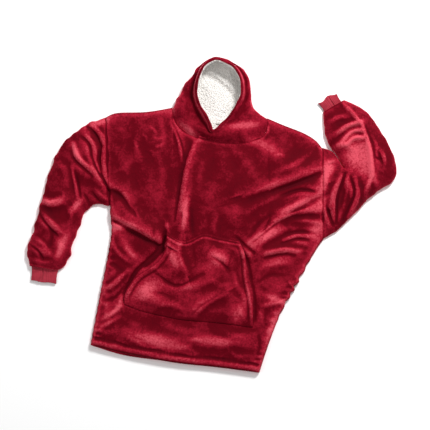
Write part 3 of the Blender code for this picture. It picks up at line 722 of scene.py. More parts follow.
def add_node(tree, kind, inputs=None, links=None, **settings):
    """One node with its settings, input values and links from other nodes' outputs."""
    node = tree.nodes.new(kind)
    for name, value in settings.items():
        setattr(node, name, value)
    for name, value in (inputs or {}).items():
        node.inputs[name].default_value = value
    for name, output in (links or {}).items():
        tree.links.new(output, node.inputs[name])
    return node


def new_material(name):
    material = bpy.data.materials.new(name)
    material.use_nodes = True
    tree = material.node_tree
    return material, tree, tree.nodes["Principled BSDF"]


def ramp_node(tree, factor, stops):
    node = add_node(tree, "ShaderNodeValToRGB", links={"Fac": factor})
    elements = node.color_ramp.elements
    while len(elements) < len(stops):
        elements.new(0.5)
    for element, (place, colour) in zip(elements, stops):
        element.position = place
        element.color = colour
    return node


def flannel_material():
    """Polyester flannel fleece, brushed and sheared: a deep velvety red that turns pink where the pile leans away from
    the eye, with painted sheen on patches, crests and steep sides, painted shade in troughs, and a short, slightly
    clumped pile."""
    cloth = bpy.context.scene.hoodie_cloth
    material, tree, shader = new_material("Brushed flannel fleece")
    place = add_node(tree, "ShaderNodeTexCoord").outputs["Object"]
    # painted sheen and shade, read from the point attribute
    sheen_and_shade = add_node(tree, "ShaderNodeAttribute", attribute_name="sheen_and_shade").outputs["Fac"]
    # Clumps a hand's width across, then finger marks, then the pile itself (drawn coarser than its 1 mm)
    broad = add_node(tree, "ShaderNodeTexNoise", {"Scale": 9.0, "Detail": 4.0, "Roughness": 0.55, "Distortion": 0.8},
                     {"Vector": place})
    fingers = add_node(tree, "ShaderNodeTexNoise", {"Scale": 46.0, "Detail": 3.0, "Roughness": 0.6, "Distortion": 1.4},
                       {"Vector": place})
    pile = add_node(tree, "ShaderNodeTexNoise", {"Scale": 170.0, "Detail": 3.0, "Roughness": 0.7}, {"Vector": place})
    sum_low = add_node(tree, "ShaderNodeMath", {1: 0.42}, {0: broad.outputs["Fac"]}, operation="MULTIPLY")
    sum_mid = add_node(tree, "ShaderNodeMath", {1: 0.24}, {0: fingers.outputs["Fac"], 2: sum_low.outputs[0]},
                       operation="MULTIPLY_ADD")
    sum_fine = add_node(tree, "ShaderNodeMath", {1: 0.22}, {0: pile.outputs["Fac"], 2: sum_mid.outputs[0]},
                        operation="MULTIPLY_ADD")
    broken = add_node(tree, "ShaderNodeMapRange", {"From Min": 0.3, "From Max": 0.7, "To Min": 0.3, "To Max": 0.66},
                      {"Value": pile.outputs["Fac"]})
    # Painted sheen and shade from the attribute, broken up by the pile noise, over the random tone
    brushed = add_node(tree, "ShaderNodeMath", None,
                       {0: sheen_and_shade, 1: broken.outputs[0], 2: sum_fine.outputs[0]}, operation="MULTIPLY_ADD")
    # darkest stop: painted shade in troughs; lightest stop: painted highlight
    colour = ramp_node(tree, brushed.outputs[0], [
        (0.16, to_linear("48010c")), (0.42, to_linear(cloth.flannel)),
        (0.62, to_linear("96142a")), (0.95, to_linear(cloth.flannel_highlight))])
    tree.links.new(colour.outputs["Color"], shader.inputs["Base Color"])
    rough = add_node(tree, "ShaderNodeMapRange", {"To Min": 0.62, "To Max": 0.9}, {"Value": pile.outputs["Fac"]})
    tree.links.new(rough.outputs[0], shader.inputs["Roughness"])
    heights = add_node(tree, "ShaderNodeMath", {1: 0.5}, {0: pile.outputs["Fac"], 2: fingers.outputs["Fac"]},
                       operation="MULTIPLY_ADD")
    bump = add_node(tree, "ShaderNodeBump", {"Strength": 0.35, "Distance": 0.004}, {"Height": heights.outputs[0]})
    tree.links.new(bump.outputs["Normal"], shader.inputs["Normal"])
    shader.inputs["Specular IOR Level"].default_value = 0.04
    shader.inputs["Sheen Weight"].default_value = 1.0
    shader.inputs["Sheen Roughness"].default_value = 0.14
    shader.inputs["Sheen Tint"].default_value = to_linear(cloth.sheen)
    return material


def rib_material():
    """Polyester and elastane rib knit, one by one: matt, lighter than the pile, with columns of tiny loops."""
    cloth = bpy.context.scene.hoodie_cloth
    material, tree, shader = new_material("Rib knit band")
    place = add_node(tree, "ShaderNodeTexCoord").outputs["Object"]
    loops = add_node(tree, "ShaderNodeTexVoronoi", {"Scale": 520.0}, {"Vector": place})
    shade = add_node(tree, "ShaderNodeTexNoise", {"Scale": 60.0, "Detail": 3.0}, {"Vector": place})
    colour = ramp_node(tree, shade.outputs["Fac"], [(0.3, to_linear("8d2030")), (0.62, to_linear(cloth.rib))])
    tree.links.new(colour.outputs["Color"], shader.inputs["Base Color"])
    bump = add_node(tree, "ShaderNodeBump", {"Strength": 0.5, "Distance": 0.0012},
                    {"Height": loops.outputs["Distance"]})
    tree.links.new(bump.outputs["Normal"], shader.inputs["Normal"])
    shader.inputs["Roughness"].default_value = 0.85
    shader.inputs["Specular IOR Level"].default_value = 0.2
    shader.inputs["Sheen Weight"].default_value = 0.3
    shader.inputs["Sheen Roughness"].default_value = 0.5
    shader.inputs["Sheen Tint"].default_value = to_linear("f0a0a8")
    return material


def sherpa_material():
    """Polyester sherpa pile, knitted and tumbled: soft cream curls, with painted shade a little darker between them.
    """
    cloth = bpy.context.scene.hoodie_cloth
    material, tree, shader = new_material("Sherpa pile")
    place = add_node(tree, "ShaderNodeTexCoord").outputs["Object"]
    curls = add_node(tree, "ShaderNodeTexVoronoi", {"Scale": 210.0, "Randomness": 1.0}, {"Vector": place})
    fine = add_node(tree, "ShaderNodeTexNoise", {"Scale": 380.0, "Detail": 3.0}, {"Vector": place})
    # painted shade: darker towards the edges of each curl's cell, between the curls
    colour = ramp_node(tree, curls.outputs["Distance"], [(0.1, to_linear(cloth.sherpa)), (0.9, to_linear("e0dcd7"))])
    tree.links.new(colour.outputs["Color"], shader.inputs["Base Color"])
    mixed = add_node(tree, "ShaderNodeMath", {1: -1.0}, {0: curls.outputs["Distance"], 2: fine.outputs["Fac"]},
                     operation="MULTIPLY_ADD")
    bump = add_node(tree, "ShaderNodeBump", {"Strength": 0.2, "Distance": 0.0015}, {"Height": mixed.outputs[0]})
    tree.links.new(bump.outputs["Normal"], shader.inputs["Normal"])
    shader.inputs["Roughness"].default_value = 0.95
    shader.inputs["Specular IOR Level"].default_value = 0.1
    shader.inputs["Sheen Weight"].default_value = 0.6
    shader.inputs["Sheen Roughness"].default_value = 0.6
    return material


def thread_material():
    """Spun polyester sewing thread, a shade darker than the pile it sinks into."""
    cloth = bpy.context.scene.hoodie_cloth
    material, tree, shader = new_material("Polyester sewing thread")
    place = add_node(tree, "ShaderNodeTexCoord").outputs["Object"]
    twist = add_node(tree, "ShaderNodeTexNoise", {"Scale": 900.0}, {"Vector": place})
    colour = ramp_node(tree, twist.outputs["Fac"], [(0.3, to_linear("3c040c")), (0.7, to_linear(cloth.thread))])
    tree.links.new(colour.outputs["Color"], shader.inputs["Base Color"])
    shader.inputs["Roughness"].default_value = 0.8
    shader.inputs["Specular IOR Level"].default_value = 0.05
    return material


MATERIALS = {}


def material_of(kind):
    makers = {"flannel": flannel_material, "rib": rib_material, "sherpa": sherpa_material, "thread": thread_material}
    if kind not in MATERIALS:
        MATERIALS[kind] = makers[kind]()
    return MATERIALS[kind]


def front_plan(columns, rows):
    hem = smooth_curve(HEM, columns)
    left = respaced(joined(smooth_curve(LEFT_SIDE, 80), smooth_curve(LEFT_ARMHOLE, 80)), rows)
    right = respaced(joined(smooth_curve(RIGHT_SIDE, 80), smooth_curve(RIGHT_ARMHOLE, 80)), rows)
    neck = smooth_curve(FRONT_NECK, 161)
    neck[:, 1] += NECK_TUCK * np.sin(np.linspace(0, math.pi, 161)) ** 0.5
    top = respaced(joined(smooth_curve(LEFT_SHOULDER, 80), neck, smooth_curve(RIGHT_SHOULDER, 80)), columns)
    return coons(hem, top, left, right)


class HOODIE_OT_front(bpy.types.Operator):
    """Front of the body: one thin shell with its folds, seams and stitched hem"""
    bl_idname = "hoodie.front"
    bl_label = "Front"

    def execute(self, context):
        plan = front_plan(297, 281)
        high = front_height(plan)
        low = lowest(high, HIDDEN_STEP) - FRONT_SHELL
        moved = scalloped(plan)
        outer = np.concatenate([moved, high[..., None]], axis=2)
        inner = np.concatenate([moved, low[..., None]], axis=2)
        made = shell("front_cloth", outer, inner, material_of("flannel"))
        with_sheen_and_shade(made, crest_highlight_trough_shade(outer))
        cloth_piece(made, "flannel", ["front_panel"], flat=(0.80, 0.92), held="laid",
                    rests_on=["back_cloth"], area=0.62)
        return {"FINISHED"}


class HOODIE_OT_back(bpy.types.Operator):
    """Back of the body: lies on the floor, seen at the hem and in the neck"""
    bl_idname = "hoodie.back"
    bl_label = "Back"

    def execute(self, context):
        hem = smooth_curve(HEM, 93)
        drop = BACK_HEM_DROP * np.exp(-((hem[:, 0] + 190) / 110) ** 2)
        hem = hem - np.stack([0 * drop, drop - 2], axis=1)
        left = respaced(joined(smooth_curve(LEFT_SIDE, 60), smooth_curve(LEFT_ARMHOLE, 60)), 93)
        right = respaced(joined(smooth_curve(RIGHT_SIDE, 60), smooth_curve(RIGHT_ARMHOLE, 60)), 93)
        left[:, 0] += BACK_INSET
        right[:, 0] -= BACK_INSET
        top = respaced(joined(smooth_curve(LEFT_SHOULDER, 60), smooth_curve(BACK_NECK, 80),
                              smooth_curve(RIGHT_SHOULDER, 60)), 93)
        hem[0], hem[-1] = left[0], right[0]
        top[0], top[-1] = left[-1], right[-1]
        plan = coons(hem, top, left, right)
        border = np.minimum(np.minimum(np.arange(93)[None, :], np.arange(93)[::-1][None, :]) * 8.0,
                            np.minimum(np.arange(93)[:, None], np.arange(93)[::-1][:, None]) * 8.0)
        round_off = edge_share(border + 0.4, 10.0)
        high = BACK_THICK * (0.5 + 0.48 * round_off)
        low = BACK_THICK * 0.4 * (1 - edge_share(border, 9.0))
        outer = np.concatenate([plan, high[..., None]], axis=2)
        inner = np.concatenate([plan, low[..., None]], axis=2)
        made = shell("back_cloth", outer, inner, material_of("flannel"))
        with_sheen_and_shade(made)
        cloth_piece(made, "flannel", ["back_panel"], flat=(0.80, 0.92), held="laid", rests_on=[], area=0.64)
        return {"FINISHED"}


def unit(vector):
    return vector / np.linalg.norm(vector)


def bumpy_edges(table, bumps):
    """The edges of a sleeve swell and draw in where folds reach them."""
    across = table[:, 2:4] - table[:, 0:2]
    across /= np.linalg.norm(across, axis=1, keepdims=True)
    ends = np.clip(np.minimum(np.arange(len(table)), np.arange(len(table))[::-1]) / 14.0, 0, 1)
    for first, sign, phase in ((0, -1, 0.4), (2, 1, 2.1)):
        edge = table[:, first:first + 2]
        run = np.concatenate([[0], np.cumsum(np.linalg.norm(np.diff(edge, axis=0), axis=1))])
        swell = 2.6 * np.sin(run / 13.0 + phase + 1.4 * np.sin(run / 37.0)) + 1.3 * np.sin(run / 5.7 + 2 * phase)
        table[:, first:first + 2] = edge + sign * across * (bumps * swell * ends)[:, None]


def sleeve_rings(rows, steps, half, bumps):
    """Outer and inner rings of a sleeve that lies flat."""
    table = table_curve(rows, steps)
    centre = (table[:, 0:2] + table[:, 2:4]) / 2
    bumpy_edges(table, bumps)
    table[0, 0:4] -= np.tile(unit(centre[1] - centre[0]) * SEAM_TUCK, 2)
    table[-1, 0:4] -= np.tile(unit(centre[-1] - centre[-2]) * SEAM_GAP, 2)
    s = -np.cos(np.linspace(0, math.pi, half + 1))
    s = np.sign(s) * np.abs(s) ** 0.9
    edge = table[:, None, 0:2]
    across = table[:, None, 2:4] - edge
    width = np.linalg.norm(across, axis=2)
    plan = edge + across * ((s + 1) / 2)[None, :, None]
    arch = (1 - np.abs(s) ** 3.2)[None] ** 0.45
    height = table[:, 4:5]
    seat = 0.32 * height
    end = np.minimum(np.arange(len(table)), np.arange(len(table))[::-1])[:, None]
    ends = 1 - 0.2 * np.exp(-(end / 0.8) ** 2)
    rise = large_rise(plan, FOLDS) + fold_field(plan, CREASES + SQUIGGLES) + crumple(plan, 3.7, SOFT_SCALES)
    top = (seat + (height - seat) * arch + rise * arch) * ends
    bottom = seat * np.clip((np.abs(s) - 0.9) / 0.1, 0, 1)[None] ** 2
    top_line = np.concatenate([plan, top[..., None]], axis=2)
    bottom_line = np.concatenate([plan, bottom[..., None]], axis=2)[:, ::-1][:, 1:-1]
    outer = np.concatenate([top_line, bottom_line], axis=1)
    share = 1 - 2 * SLEEVE_SHELL / width
    inside = edge + across * ((s[None] * share + 1) / 2)[..., None]
    clear = lowest(top, HIDDEN_STEP)
    top_in = np.maximum(clear - SLEEVE_SHELL, 0.55 * clear + 0.45 * bottom)
    bottom_in = np.minimum(bottom + SLEEVE_SHELL, 0.45 * clear + 0.55 * bottom)
    inner = np.concatenate([np.concatenate([inside, top_in[..., None]], axis=2),
                            np.concatenate([inside, bottom_in[..., None]], axis=2)[:, ::-1][:, 1:-1]], axis=1)
    return outer, inner


class HOODIE_OT_sleeves(bpy.types.Operator):
    """Both sleeves: flattened tubes with elbow and wrist creases"""
    bl_idname = "hoodie.sleeves"
    bl_label = "Sleeves"

    def execute(self, context):
        for name, rows, node in (("right_sleeve_cloth", LEFT_PHOTO_SLEEVE, "right_sleeve"),
                                 ("left_sleeve_cloth", RIGHT_PHOTO_SLEEVE, "left_sleeve")):
            steps, bumps = (24, 0.9) if node == "right_sleeve" else (18, 0.35)
            outer, inner = sleeve_rings(rows, steps, 120, bumps)
            made = shell(name, outer, inner, material_of("flannel"), wrap=True)
            with_sheen_and_shade(made, crest_highlight_trough_shade(outer, True))
            cloth_piece(made, "flannel", [node], flat=SLEEVE_CUTS[node][0], held="laid", rests_on=[],
                        area=SLEEVE_CUTS[node][1])
        return {"FINISHED"}


SLEEVE_CUTS = {"right_sleeve": ((0.64, 0.48), 0.2), "left_sleeve": ((0.64, 0.48), 0.2)}


class HOODIE_OT_cuffs(bpy.types.Operator):
    """Rib-knit bands with raised ribs, a little flared and uneven at the open end"""
    bl_idname = "hoodie.cuffs"
    bl_label = "Cuffs"

    def execute(self, context):
        for name, corners, node, wobble in (("right_cuff_band", LEFT_PHOTO_CUFF, "right_cuff", 1.5),
                                            ("left_cuff_band", RIGHT_PHOTO_CUFF, "left_cuff", 4.5)):
            outer, inner = cuff_rings(corners, wobble)
            made = shell(name, outer, inner, material_of("rib"), wrap=True)
            cloth_piece(made, "rib_knit", [node], flat=(0.18, 0.045), held="laid", rests_on=[])
        return {"FINISHED"}


def cuff_rings(corners, wobble):
    near_inner, near_outer, far_inner, far_outer = (np.array(corner, float) for corner in corners)
    ribs = 40
    count = ribs * 8
    angle = 2 * math.pi * (np.arange(count) + 0.5) / count
    x = np.cos(angle)
    y = np.sin(angle)
    side = np.sign(x) * np.abs(x) ** 0.72
    tall = np.sign(y) * np.abs(y) ** 0.5
    ripple = (0.5 + 0.5 * np.cos(angle * ribs)) ** 0.7
    lift = CUFF_SLIT / 2 + CUFF_WALL + CUFF_RIB
    outer = []
    inner = []
    for share in np.linspace(0, 1, 25):
        start = near_inner * (1 - share) + far_inner * share
        stop = near_outer * (1 - share) + far_outer * share
        across = stop - start
        along = unit((far_inner + far_outer) - (near_inner + near_outer))
        waist = 1 - 0.05 * math.sin(math.pi * share)
        fade = min(1.0, 5 * (1 - share) + 0.3)
        for ring, wall, ribbed in ((outer, 0.0, 1.0), (inner, CUFF_WALL, 0.0)):
            half = CUFF_SLIT / 2 + CUFF_WALL - wall
            reach = np.linalg.norm(across) / 2 * waist - CUFF_RIB - wall
            out = CUFF_RIB * ripple * ribbed * fade
            flat = side * (reach + out * np.abs(x))
            seam = CUFF_SEAM_DEPTH * np.exp(-((flat - 4 - 3 * share) / 2.2) ** 2) * (y > 0) * ribbed
            rise = tall * (half + out * np.minimum(1.0, np.abs(y) * 1.6)) - seam
            shift = wobble * share ** 2 * np.sin(flat / 9.0 + 1.0)
            plan = start + across / 2 + unit(across) * flat[:, None] + along * shift[:, None]
            ring.append(np.concatenate([plan, (rise + lift)[:, None]], axis=1))
    outer = np.array(outer)
    outer[..., 2] = np.maximum(outer[..., 2], 0.1)
    return outer, np.array(inner)


def hood_sections(rows, toward, along):
    """Sections of one half of the hood, each from its neck seam to its rim."""
    sections = []
    for seam, side, crest, dip, rim in rows:
        seam, side, crest, rim = (np.array(point, float) for point in (seam, side, crest, rim))
        foot = seam[2] > 15
        slack = 0.6 if foot else 0.25
        floor = seam * slack + side * (1 - slack)
        floor[2] = seam[2] + FOOT_RISE * foot
        share = TROUGH_SHARE[toward]
        trough = crest * (1 - share) + rim * share
        trough[2] = min(crest[2], rim[2]) - dip * TROUGH_DEEPER[toward]
        sections.append(smooth_curve([seam, floor, side, crest, trough, rim], along).ravel())
    return sections


def hood_grid(toward, steps, along):
    """Outer face of one half of the hood, crown first. Both halves are one smooth form over the crown."""
    right = hood_sections(HOOD_LEFT, -1, along)
    left = hood_sections(HOOD_RIGHT, 1, along)
    crown = (len(right) - 1) * steps
    grid = table_curve(np.array(right[::-1] + left[1:]), steps)
    grid = grid.reshape(len(grid), along, 3)
    grid[..., 2] = np.maximum(grid[..., 2], 0.0)
    return grid[:crown + 1][::-1] if toward < 0 else grid[crown:]


def surface_normals(grid, inward, passes):
    """Unit normals of a grid that point at the inside of the hood, evened out."""
    normal = np.cross(np.gradient(grid, axis=0), np.gradient(grid, axis=1))
    for _ in range(passes):
        normal /= np.maximum(np.linalg.norm(normal, axis=2, keepdims=True), 1e-9)
        wide = np.pad(normal, ((1, 1), (1, 1), (0, 0)), mode="edge")
        normal = (2 * normal + wide[2:, 1:-1] + wide[:-2, 1:-1] + wide[1:-1, 2:] + wide[1:-1, :-2]) / 6
    normal /= np.linalg.norm(normal, axis=2, keepdims=True)
    toward = np.sum(normal * (inward - grid), axis=2)
    return normal if toward.mean() > 0 else -normal


TROUGH_SHARE = {-1: 0.74, 1: 0.62}  # where the hood's side is deepest, from its crest to its rim
TROUGH_DEEPER = {-1: 1.55, 1: 1.3}
FOOT_RISE = 7.0  # the hood swells this much just above its seam with the front
HOOD_INSIDE = np.array([-15.0, 460.0, 120.0])
HOOD_SIDES = (("right", -1), ("left", 1))


class HOODIE_OT_hood(bpy.types.Operator):
    """Outer halves of the hood and the turned edge round the face opening"""
    bl_idname = "hoodie.hood"
    bl_label = "Hood"

    def execute(self, context):
        rim = []
        for side_name, toward in HOOD_SIDES:
            grid = hood_grid(toward, 14, 97)
            normal = surface_normals(grid, HOOD_INSIDE, 60)
            dents = crumple(grid, 5.5, ((48, 2.4), (20, 1.4), (9, 0.5)))
            dents *= np.clip(np.arange(dents.shape[1])[::-1] / 12, 0, 1)
            grid = grid - normal * dents[..., None]
            grid[..., 2] = np.maximum(grid[..., 2], 0.0)
            made = shell("hood_" + side_name + "_cloth", grid, grid + normal * HOOD_WALL, material_of("flannel"))
            with_sheen_and_shade(made, 0.5 * crest_highlight_trough_shade(grid))
            cloth_piece(made, "flannel", ["hood_" + side_name + "_panel"], flat=(0.26, 0.26), held="laid",
                        rests_on=[], area=0.055)
            edge = grid[:, -1] + normal[:, -1] * (HOOD_WALL + HOOD_LINING) / 2
            rim.append((edge, normal[:, -1]))
        path = np.vstack([rim[0][0][::-1], rim[1][0][1:]])
        out = np.vstack([rim[0][1][::-1], rim[1][1][1:]])
        made = rim_roll("hood_rim_fold", path, out)
        with_sheen_and_shade(made, None, 0.6)
        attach(made, "root")
        return {"FINISHED"}


def rim_roll(name, path, out):
    """The cloth turned over at the hood's edge, as a soft flattened roll."""
    count = 220
    joined_path = respaced(np.hstack([path, out]), count)
    path, out = joined_path[:, :3], joined_path[:, 3:]
    around = 20
    rings = []
    run = np.gradient(path, axis=0)
    run /= np.linalg.norm(run, axis=1, keepdims=True)
    out -= run * np.sum(out * run, axis=1, keepdims=True)
    out /= np.linalg.norm(out, axis=1, keepdims=True)
    up = np.cross(run, out)
    lower = np.abs(np.linspace(-1, 1, count))
    swell = 1 + 0.12 * np.sin(np.arange(count) / 2.9) + 0.1 * np.sin(np.arange(count) / 7.7)
    for k in range(around):
        angle = 2 * math.pi * k / around
        width = (3.2 + 2.6 * lower) * math.cos(angle)
        height = (4.2 + 1.2 * lower) * math.sin(angle)
        rings.append(path + out * (height * swell)[:, None] + up * (width * swell)[:, None])
    grid = np.stack(rings, axis=1)
    faces = grid_faces(count, around, 0, True)
    points = grid.reshape(-1, 3)
    caps = [list(range(around))[::-1], list(range((count - 1) * around, count * around))]
    return add_mesh(name, points, faces.tolist() + caps, material_of("flannel"))


class HOODIE_OT_lining(bpy.types.Operator):
    """Sherpa inside the hood and neck, with its curls of pile"""
    bl_idname = "hoodie.lining"
    bl_label = "Lining"

    def execute(self, context):
        cloth = context.scene.hoodie_cloth
        for side_name, toward in HOOD_SIDES:
            grid = hood_grid(toward, 9, 70)
            normal = surface_normals(grid, HOOD_INSIDE, 40)
            grid, normal = grid[:, 5:], normal[:, 5:]
            near = grid + normal * (HOOD_WALL + LINING_GAP)
            far = grid + normal * (HOOD_WALL + LINING_GAP + HOOD_LINING)
            flatness = np.clip(normal[..., 2], 0, 1)
            far[..., 2] += fold_field(far, LINING_FOLDS) * flatness
            far += normal * crumple(far, 2.2, ((30, 1.6), (11, 1.0)))[..., None]
            made = shell("hood_" + side_name + "_sherpa", far, near, material_of("sherpa"))
            cloth_piece(made, "sherpa", ["hood_" + side_name + "_lining"], flat=(0.25, 0.25), held="laid",
                        rests_on=["hood_" + side_name + "_cloth"], area=0.05)
            curls(made, far, "hood_" + side_name + "_curls", cloth)
        outline = smooth_curve(NECK_PATCH + NECK_PATCH[:1], 97)[:-1]
        patch = disc_grid(outline, 13)
        top = np.full(patch.shape[:2], BACK_THICK + SEAM_GAP + 2.6)
        top += crumple(patch, 6.1, ((18, 1.2),)) + 0.8
        top -= 4.0 * np.clip((patch[..., 1] - 396) / 20, 0, 1)
        outer = np.concatenate([patch, top[..., None]], axis=2)
        under = np.concatenate([patch, 0 * top[..., None] + BACK_THICK + SEAM_GAP - 0.2], axis=2)
        made = shell("neck_sherpa", outer, under, material_of("sherpa"), wrap=True)
        cloth_piece(made, "sherpa", ["back_neck_lining"], flat=(0.225, 0.055), held="laid", rests_on=["back_cloth"])
        curls(made, outer, "neck_curls", cloth)
        return {"FINISHED"}


def disc_grid(outline, rings):
    """Rings of plan points from near the middle of an outline out to it."""
    middle = outline.mean(axis=0)
    shares = np.linspace(0.06, 1, rings)[:, None, None]
    return middle + (outline[None] - middle) * shares


def curls(owner, grid, name, cloth):
    """Curls of pile set over the inner face of a lining by Geometry Nodes, and made a plain mesh."""
    rows, columns = grid.shape[:2]
    base = add_mesh(name + "_bed", grid.reshape(-1, 3), grid_faces(rows, columns).tolist(), material_of("sherpa"))
    modifier = base.modifiers.new("Curls", "NODES")
    modifier.node_group = curl_tree()
    set_sizes(modifier, {"Curl radius": cloth.tuft, "Spacing": cloth.tuft_spacing})
    made = baked(base, name)
    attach(made, "root")


def set_sizes(modifier, sizes):
    """Give a Geometry Nodes modifier its named inputs, by socket identifier."""
    for item in modifier.node_group.interface.items_tree:
        if item.item_type == "SOCKET" and item.in_out == "INPUT" and item.name in sizes:
            modifier[item.identifier] = sizes[item.name]


def baked(base, name):
    """The evaluated result of an object's modifiers as a plain mesh object; the source is removed."""
    graph = bpy.context.evaluated_depsgraph_get()
    mesh = bpy.data.meshes.new_from_object(base.evaluated_get(graph))
    mesh.name = name
    made = bpy.data.objects.new(name, mesh)
    bpy.context.scene.collection.objects.link(made)
    bpy.data.objects.remove(base)
    if not mesh.polygons:
        raise RuntimeError(name + " came out empty")
    return made


def new_tree(name, sizes):
    tree = bpy.data.node_groups.new(name, "GeometryNodeTree")
    tree.interface.new_socket("Geometry", in_out="INPUT", socket_type="NodeSocketGeometry")
    for label, default in sizes:
        socket = tree.interface.new_socket(label, in_out="INPUT", socket_type="NodeSocketFloat")
        socket.default_value = default
    tree.interface.new_socket("Geometry", in_out="OUTPUT", socket_type="NodeSocketGeometry")
    return tree, add_node(tree, "NodeGroupInput"), add_node(tree, "NodeGroupOutput")


def curl_tree():
    """Distribute, turn and size the curls at random, with a fixed seed."""
    found = bpy.data.node_groups.get("Sherpa curls")
    if found:
        return found
    tree, given, result = new_tree("Sherpa curls", (("Curl radius", 0.003), ("Spacing", 0.004)))
    spread = add_node(tree, "GeometryNodeDistributePointsOnFaces", {"Seed": 11, "Density Max": 60000.0},
                      {"Mesh": given.outputs["Geometry"], "Distance Min": given.outputs["Spacing"]},
                      distribute_method="POISSON")
    ball = add_node(tree, "GeometryNodeMeshIcoSphere", {"Subdivisions": 1}, {"Radius": given.outputs["Curl radius"]})
    size = add_node(tree, "FunctionNodeRandomValue", {"Min": (0.7, 0.7, 0.35), "Max": (1.3, 1.1, 0.6), "Seed": 5},
                    data_type="FLOAT_VECTOR")
    turn = add_node(tree, "FunctionNodeRandomValue", {"Min": (0, 0, 0), "Max": (0.7, 0.7, 6.28), "Seed": 9},
                    data_type="FLOAT_VECTOR")
    placed = add_node(tree, "GeometryNodeInstanceOnPoints", links={
        "Points": spread.outputs["Points"], "Instance": ball.outputs["Mesh"],
        "Scale": size.outputs["Value"], "Rotation": turn.outputs["Value"]})
    real = add_node(tree, "GeometryNodeRealizeInstances", links={"Geometry": placed.outputs["Instances"]})
    smooth = add_node(tree, "GeometryNodeSetShadeSmooth", links={"Geometry": real.outputs["Geometry"]})
    finish = add_node(tree, "GeometryNodeSetMaterial", {"Material": material_of("sherpa")},
                      {"Geometry": smooth.outputs["Geometry"]})
    tree.links.new(finish.outputs["Geometry"], result.inputs["Geometry"])
    return tree


def pocket_surface(plan):
    """Upper and lower faces of the pouch: sewn flat at top and foot, its mouths rolled and standing open."""
    left = line_distance(plan, smooth_curve(POCKET_LEFT, 20))[0]
    right = line_distance(plan, smooth_curve(POCKET_RIGHT, 20))[0]
    top = line_distance(plan, smooth_curve(POCKET_TOP, 20))[0]
    seams = np.minimum(top, line_distance(plan, smooth_curve(POCKET_BOTTOM, 20))[0])
    mouth = np.minimum(left, right * 1.3)
    free = np.clip(seams / MOUTH_REACH, 0, 1)
    lift = MOUTH_LIFT * free * np.clip(1 - mouth / MOUTH_REACH, 0, 1) ** 1.5
    low = front_height(plan, True, False) + 0.4 + POCKET_GAP * free + lift
    foot = line_distance(plan, smooth_curve(POCKET_BOTTOM, 20))[0]
    sewn = np.clip(top / 14.0, 0, 1) ** 0.7 * np.clip(foot / 38.0, 0, 1) ** 0.8
    rolled = edge_share(mouth, 9.0)
    hemmed = 1.7 * np.exp(-((mouth - 9) / 6.0) ** 2) - 1.5 * np.exp(-((mouth - 20) / 4.0) ** 2)
    ridges = (1.8 * np.exp(-((top - 6) / 3.0) ** 2) + 1.8 * np.exp(-((top - 17) / 4.0) ** 2)
              - 1.6 * np.exp(-((top - 11) / 2.6) ** 2))
    body = POCKET_WALL - 3.5 + large_rise(plan, POCKET_FOLDS) + fold_field(plan, POCKET_CREASES)
    body = body + hemmed * free + ridges + 0.5 * crumple(plan, 9.4, SOFT_SCALES)
    high = low + 1.2 + 2.0 * free + np.maximum(body, -1.0) * rolled * sewn
    return high, np.maximum(low, high - 6.0)


class HOODIE_OT_pocket(bpy.types.Operator):
    """Pouch pocket, its slanted mouths standing a little open"""
    bl_idname = "hoodie.pocket"
    bl_label = "Pocket"

    def execute(self, context):
        plan = coons(smooth_curve(POCKET_BOTTOM, 193), smooth_curve(POCKET_TOP, 193),
                     smooth_curve(POCKET_LEFT, 129), smooth_curve(POCKET_RIGHT, 129))
        high, low = pocket_surface(plan)
        outer = np.concatenate([plan, high[..., None]], axis=2)
        inner = np.concatenate([plan, np.minimum(low, lowest(high, HIDDEN_STEP) - 1.0)[..., None]], axis=2)
        made = shell("pocket_cloth", outer, inner, material_of("flannel"))
        with_sheen_and_shade(made, crest_highlight_trough_shade(outer))
        cloth_piece(made, "flannel", ["pocket"], flat=(0.46, 0.31), held="laid", rests_on=["front_cloth"], area=0.108)
        return {"FINISHED"}


def stitch_tree():
    """Capsule stitches set along a path, each lying along it."""
    found = bpy.data.node_groups.get("Topstitches")
    if found:
        return found
    tree, given, result = new_tree("Topstitches", (("Stitch length", 0.0045), ("Pitch", 0.0075), ("Thread", 0.0007)))
    path = add_node(tree, "GeometryNodeMeshToCurve", links={"Mesh": given.outputs["Geometry"]})
    even = add_node(tree, "GeometryNodeResampleCurve", links={
        "Curve": path.outputs["Curve"], "Length": given.outputs["Pitch"]}, mode="LENGTH")
    bar = add_node(tree, "GeometryNodeMeshCylinder", {"Vertices": 6}, {
        "Radius": given.outputs["Thread"], "Depth": given.outputs["Stitch length"]})
    heading = add_node(tree, "GeometryNodeInputTangent")
    turn = add_node(tree, "FunctionNodeAlignRotationToVector", links={"Vector": heading.outputs["Tangent"]}, axis="Z")
    placed = add_node(tree, "GeometryNodeInstanceOnPoints", links={
        "Points": even.outputs["Curve"], "Instance": bar.outputs["Mesh"], "Rotation": turn.outputs["Rotation"]})
    real = add_node(tree, "GeometryNodeRealizeInstances", links={"Geometry": placed.outputs["Instances"]})
    finish = add_node(tree, "GeometryNodeSetMaterial", {"Material": material_of("thread")},
                      {"Geometry": real.outputs["Geometry"]})
    tree.links.new(finish.outputs["Geometry"], result.inputs["Geometry"])
    return tree


def stitch_row(name, line):
    """One row of topstitching along a line of points in millimetres."""
    edges = [(i, i + 1) for i in range(len(line) - 1)]
    mesh = bpy.data.meshes.new(name)
    mesh.from_pydata((line * MM).tolist(), edges, [])
    base = bpy.data.objects.new(name + "_path", mesh)
    bpy.context.scene.collection.objects.link(base)
    modifier = base.modifiers.new("Stitches", "NODES")
    modifier.node_group = stitch_tree()
    cloth = bpy.context.scene.hoodie_cloth
    set_sizes(modifier, {"Stitch length": cloth.stitch_length, "Pitch": cloth.stitch_gap})
    made = baked(base, name)
    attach(made, "root")


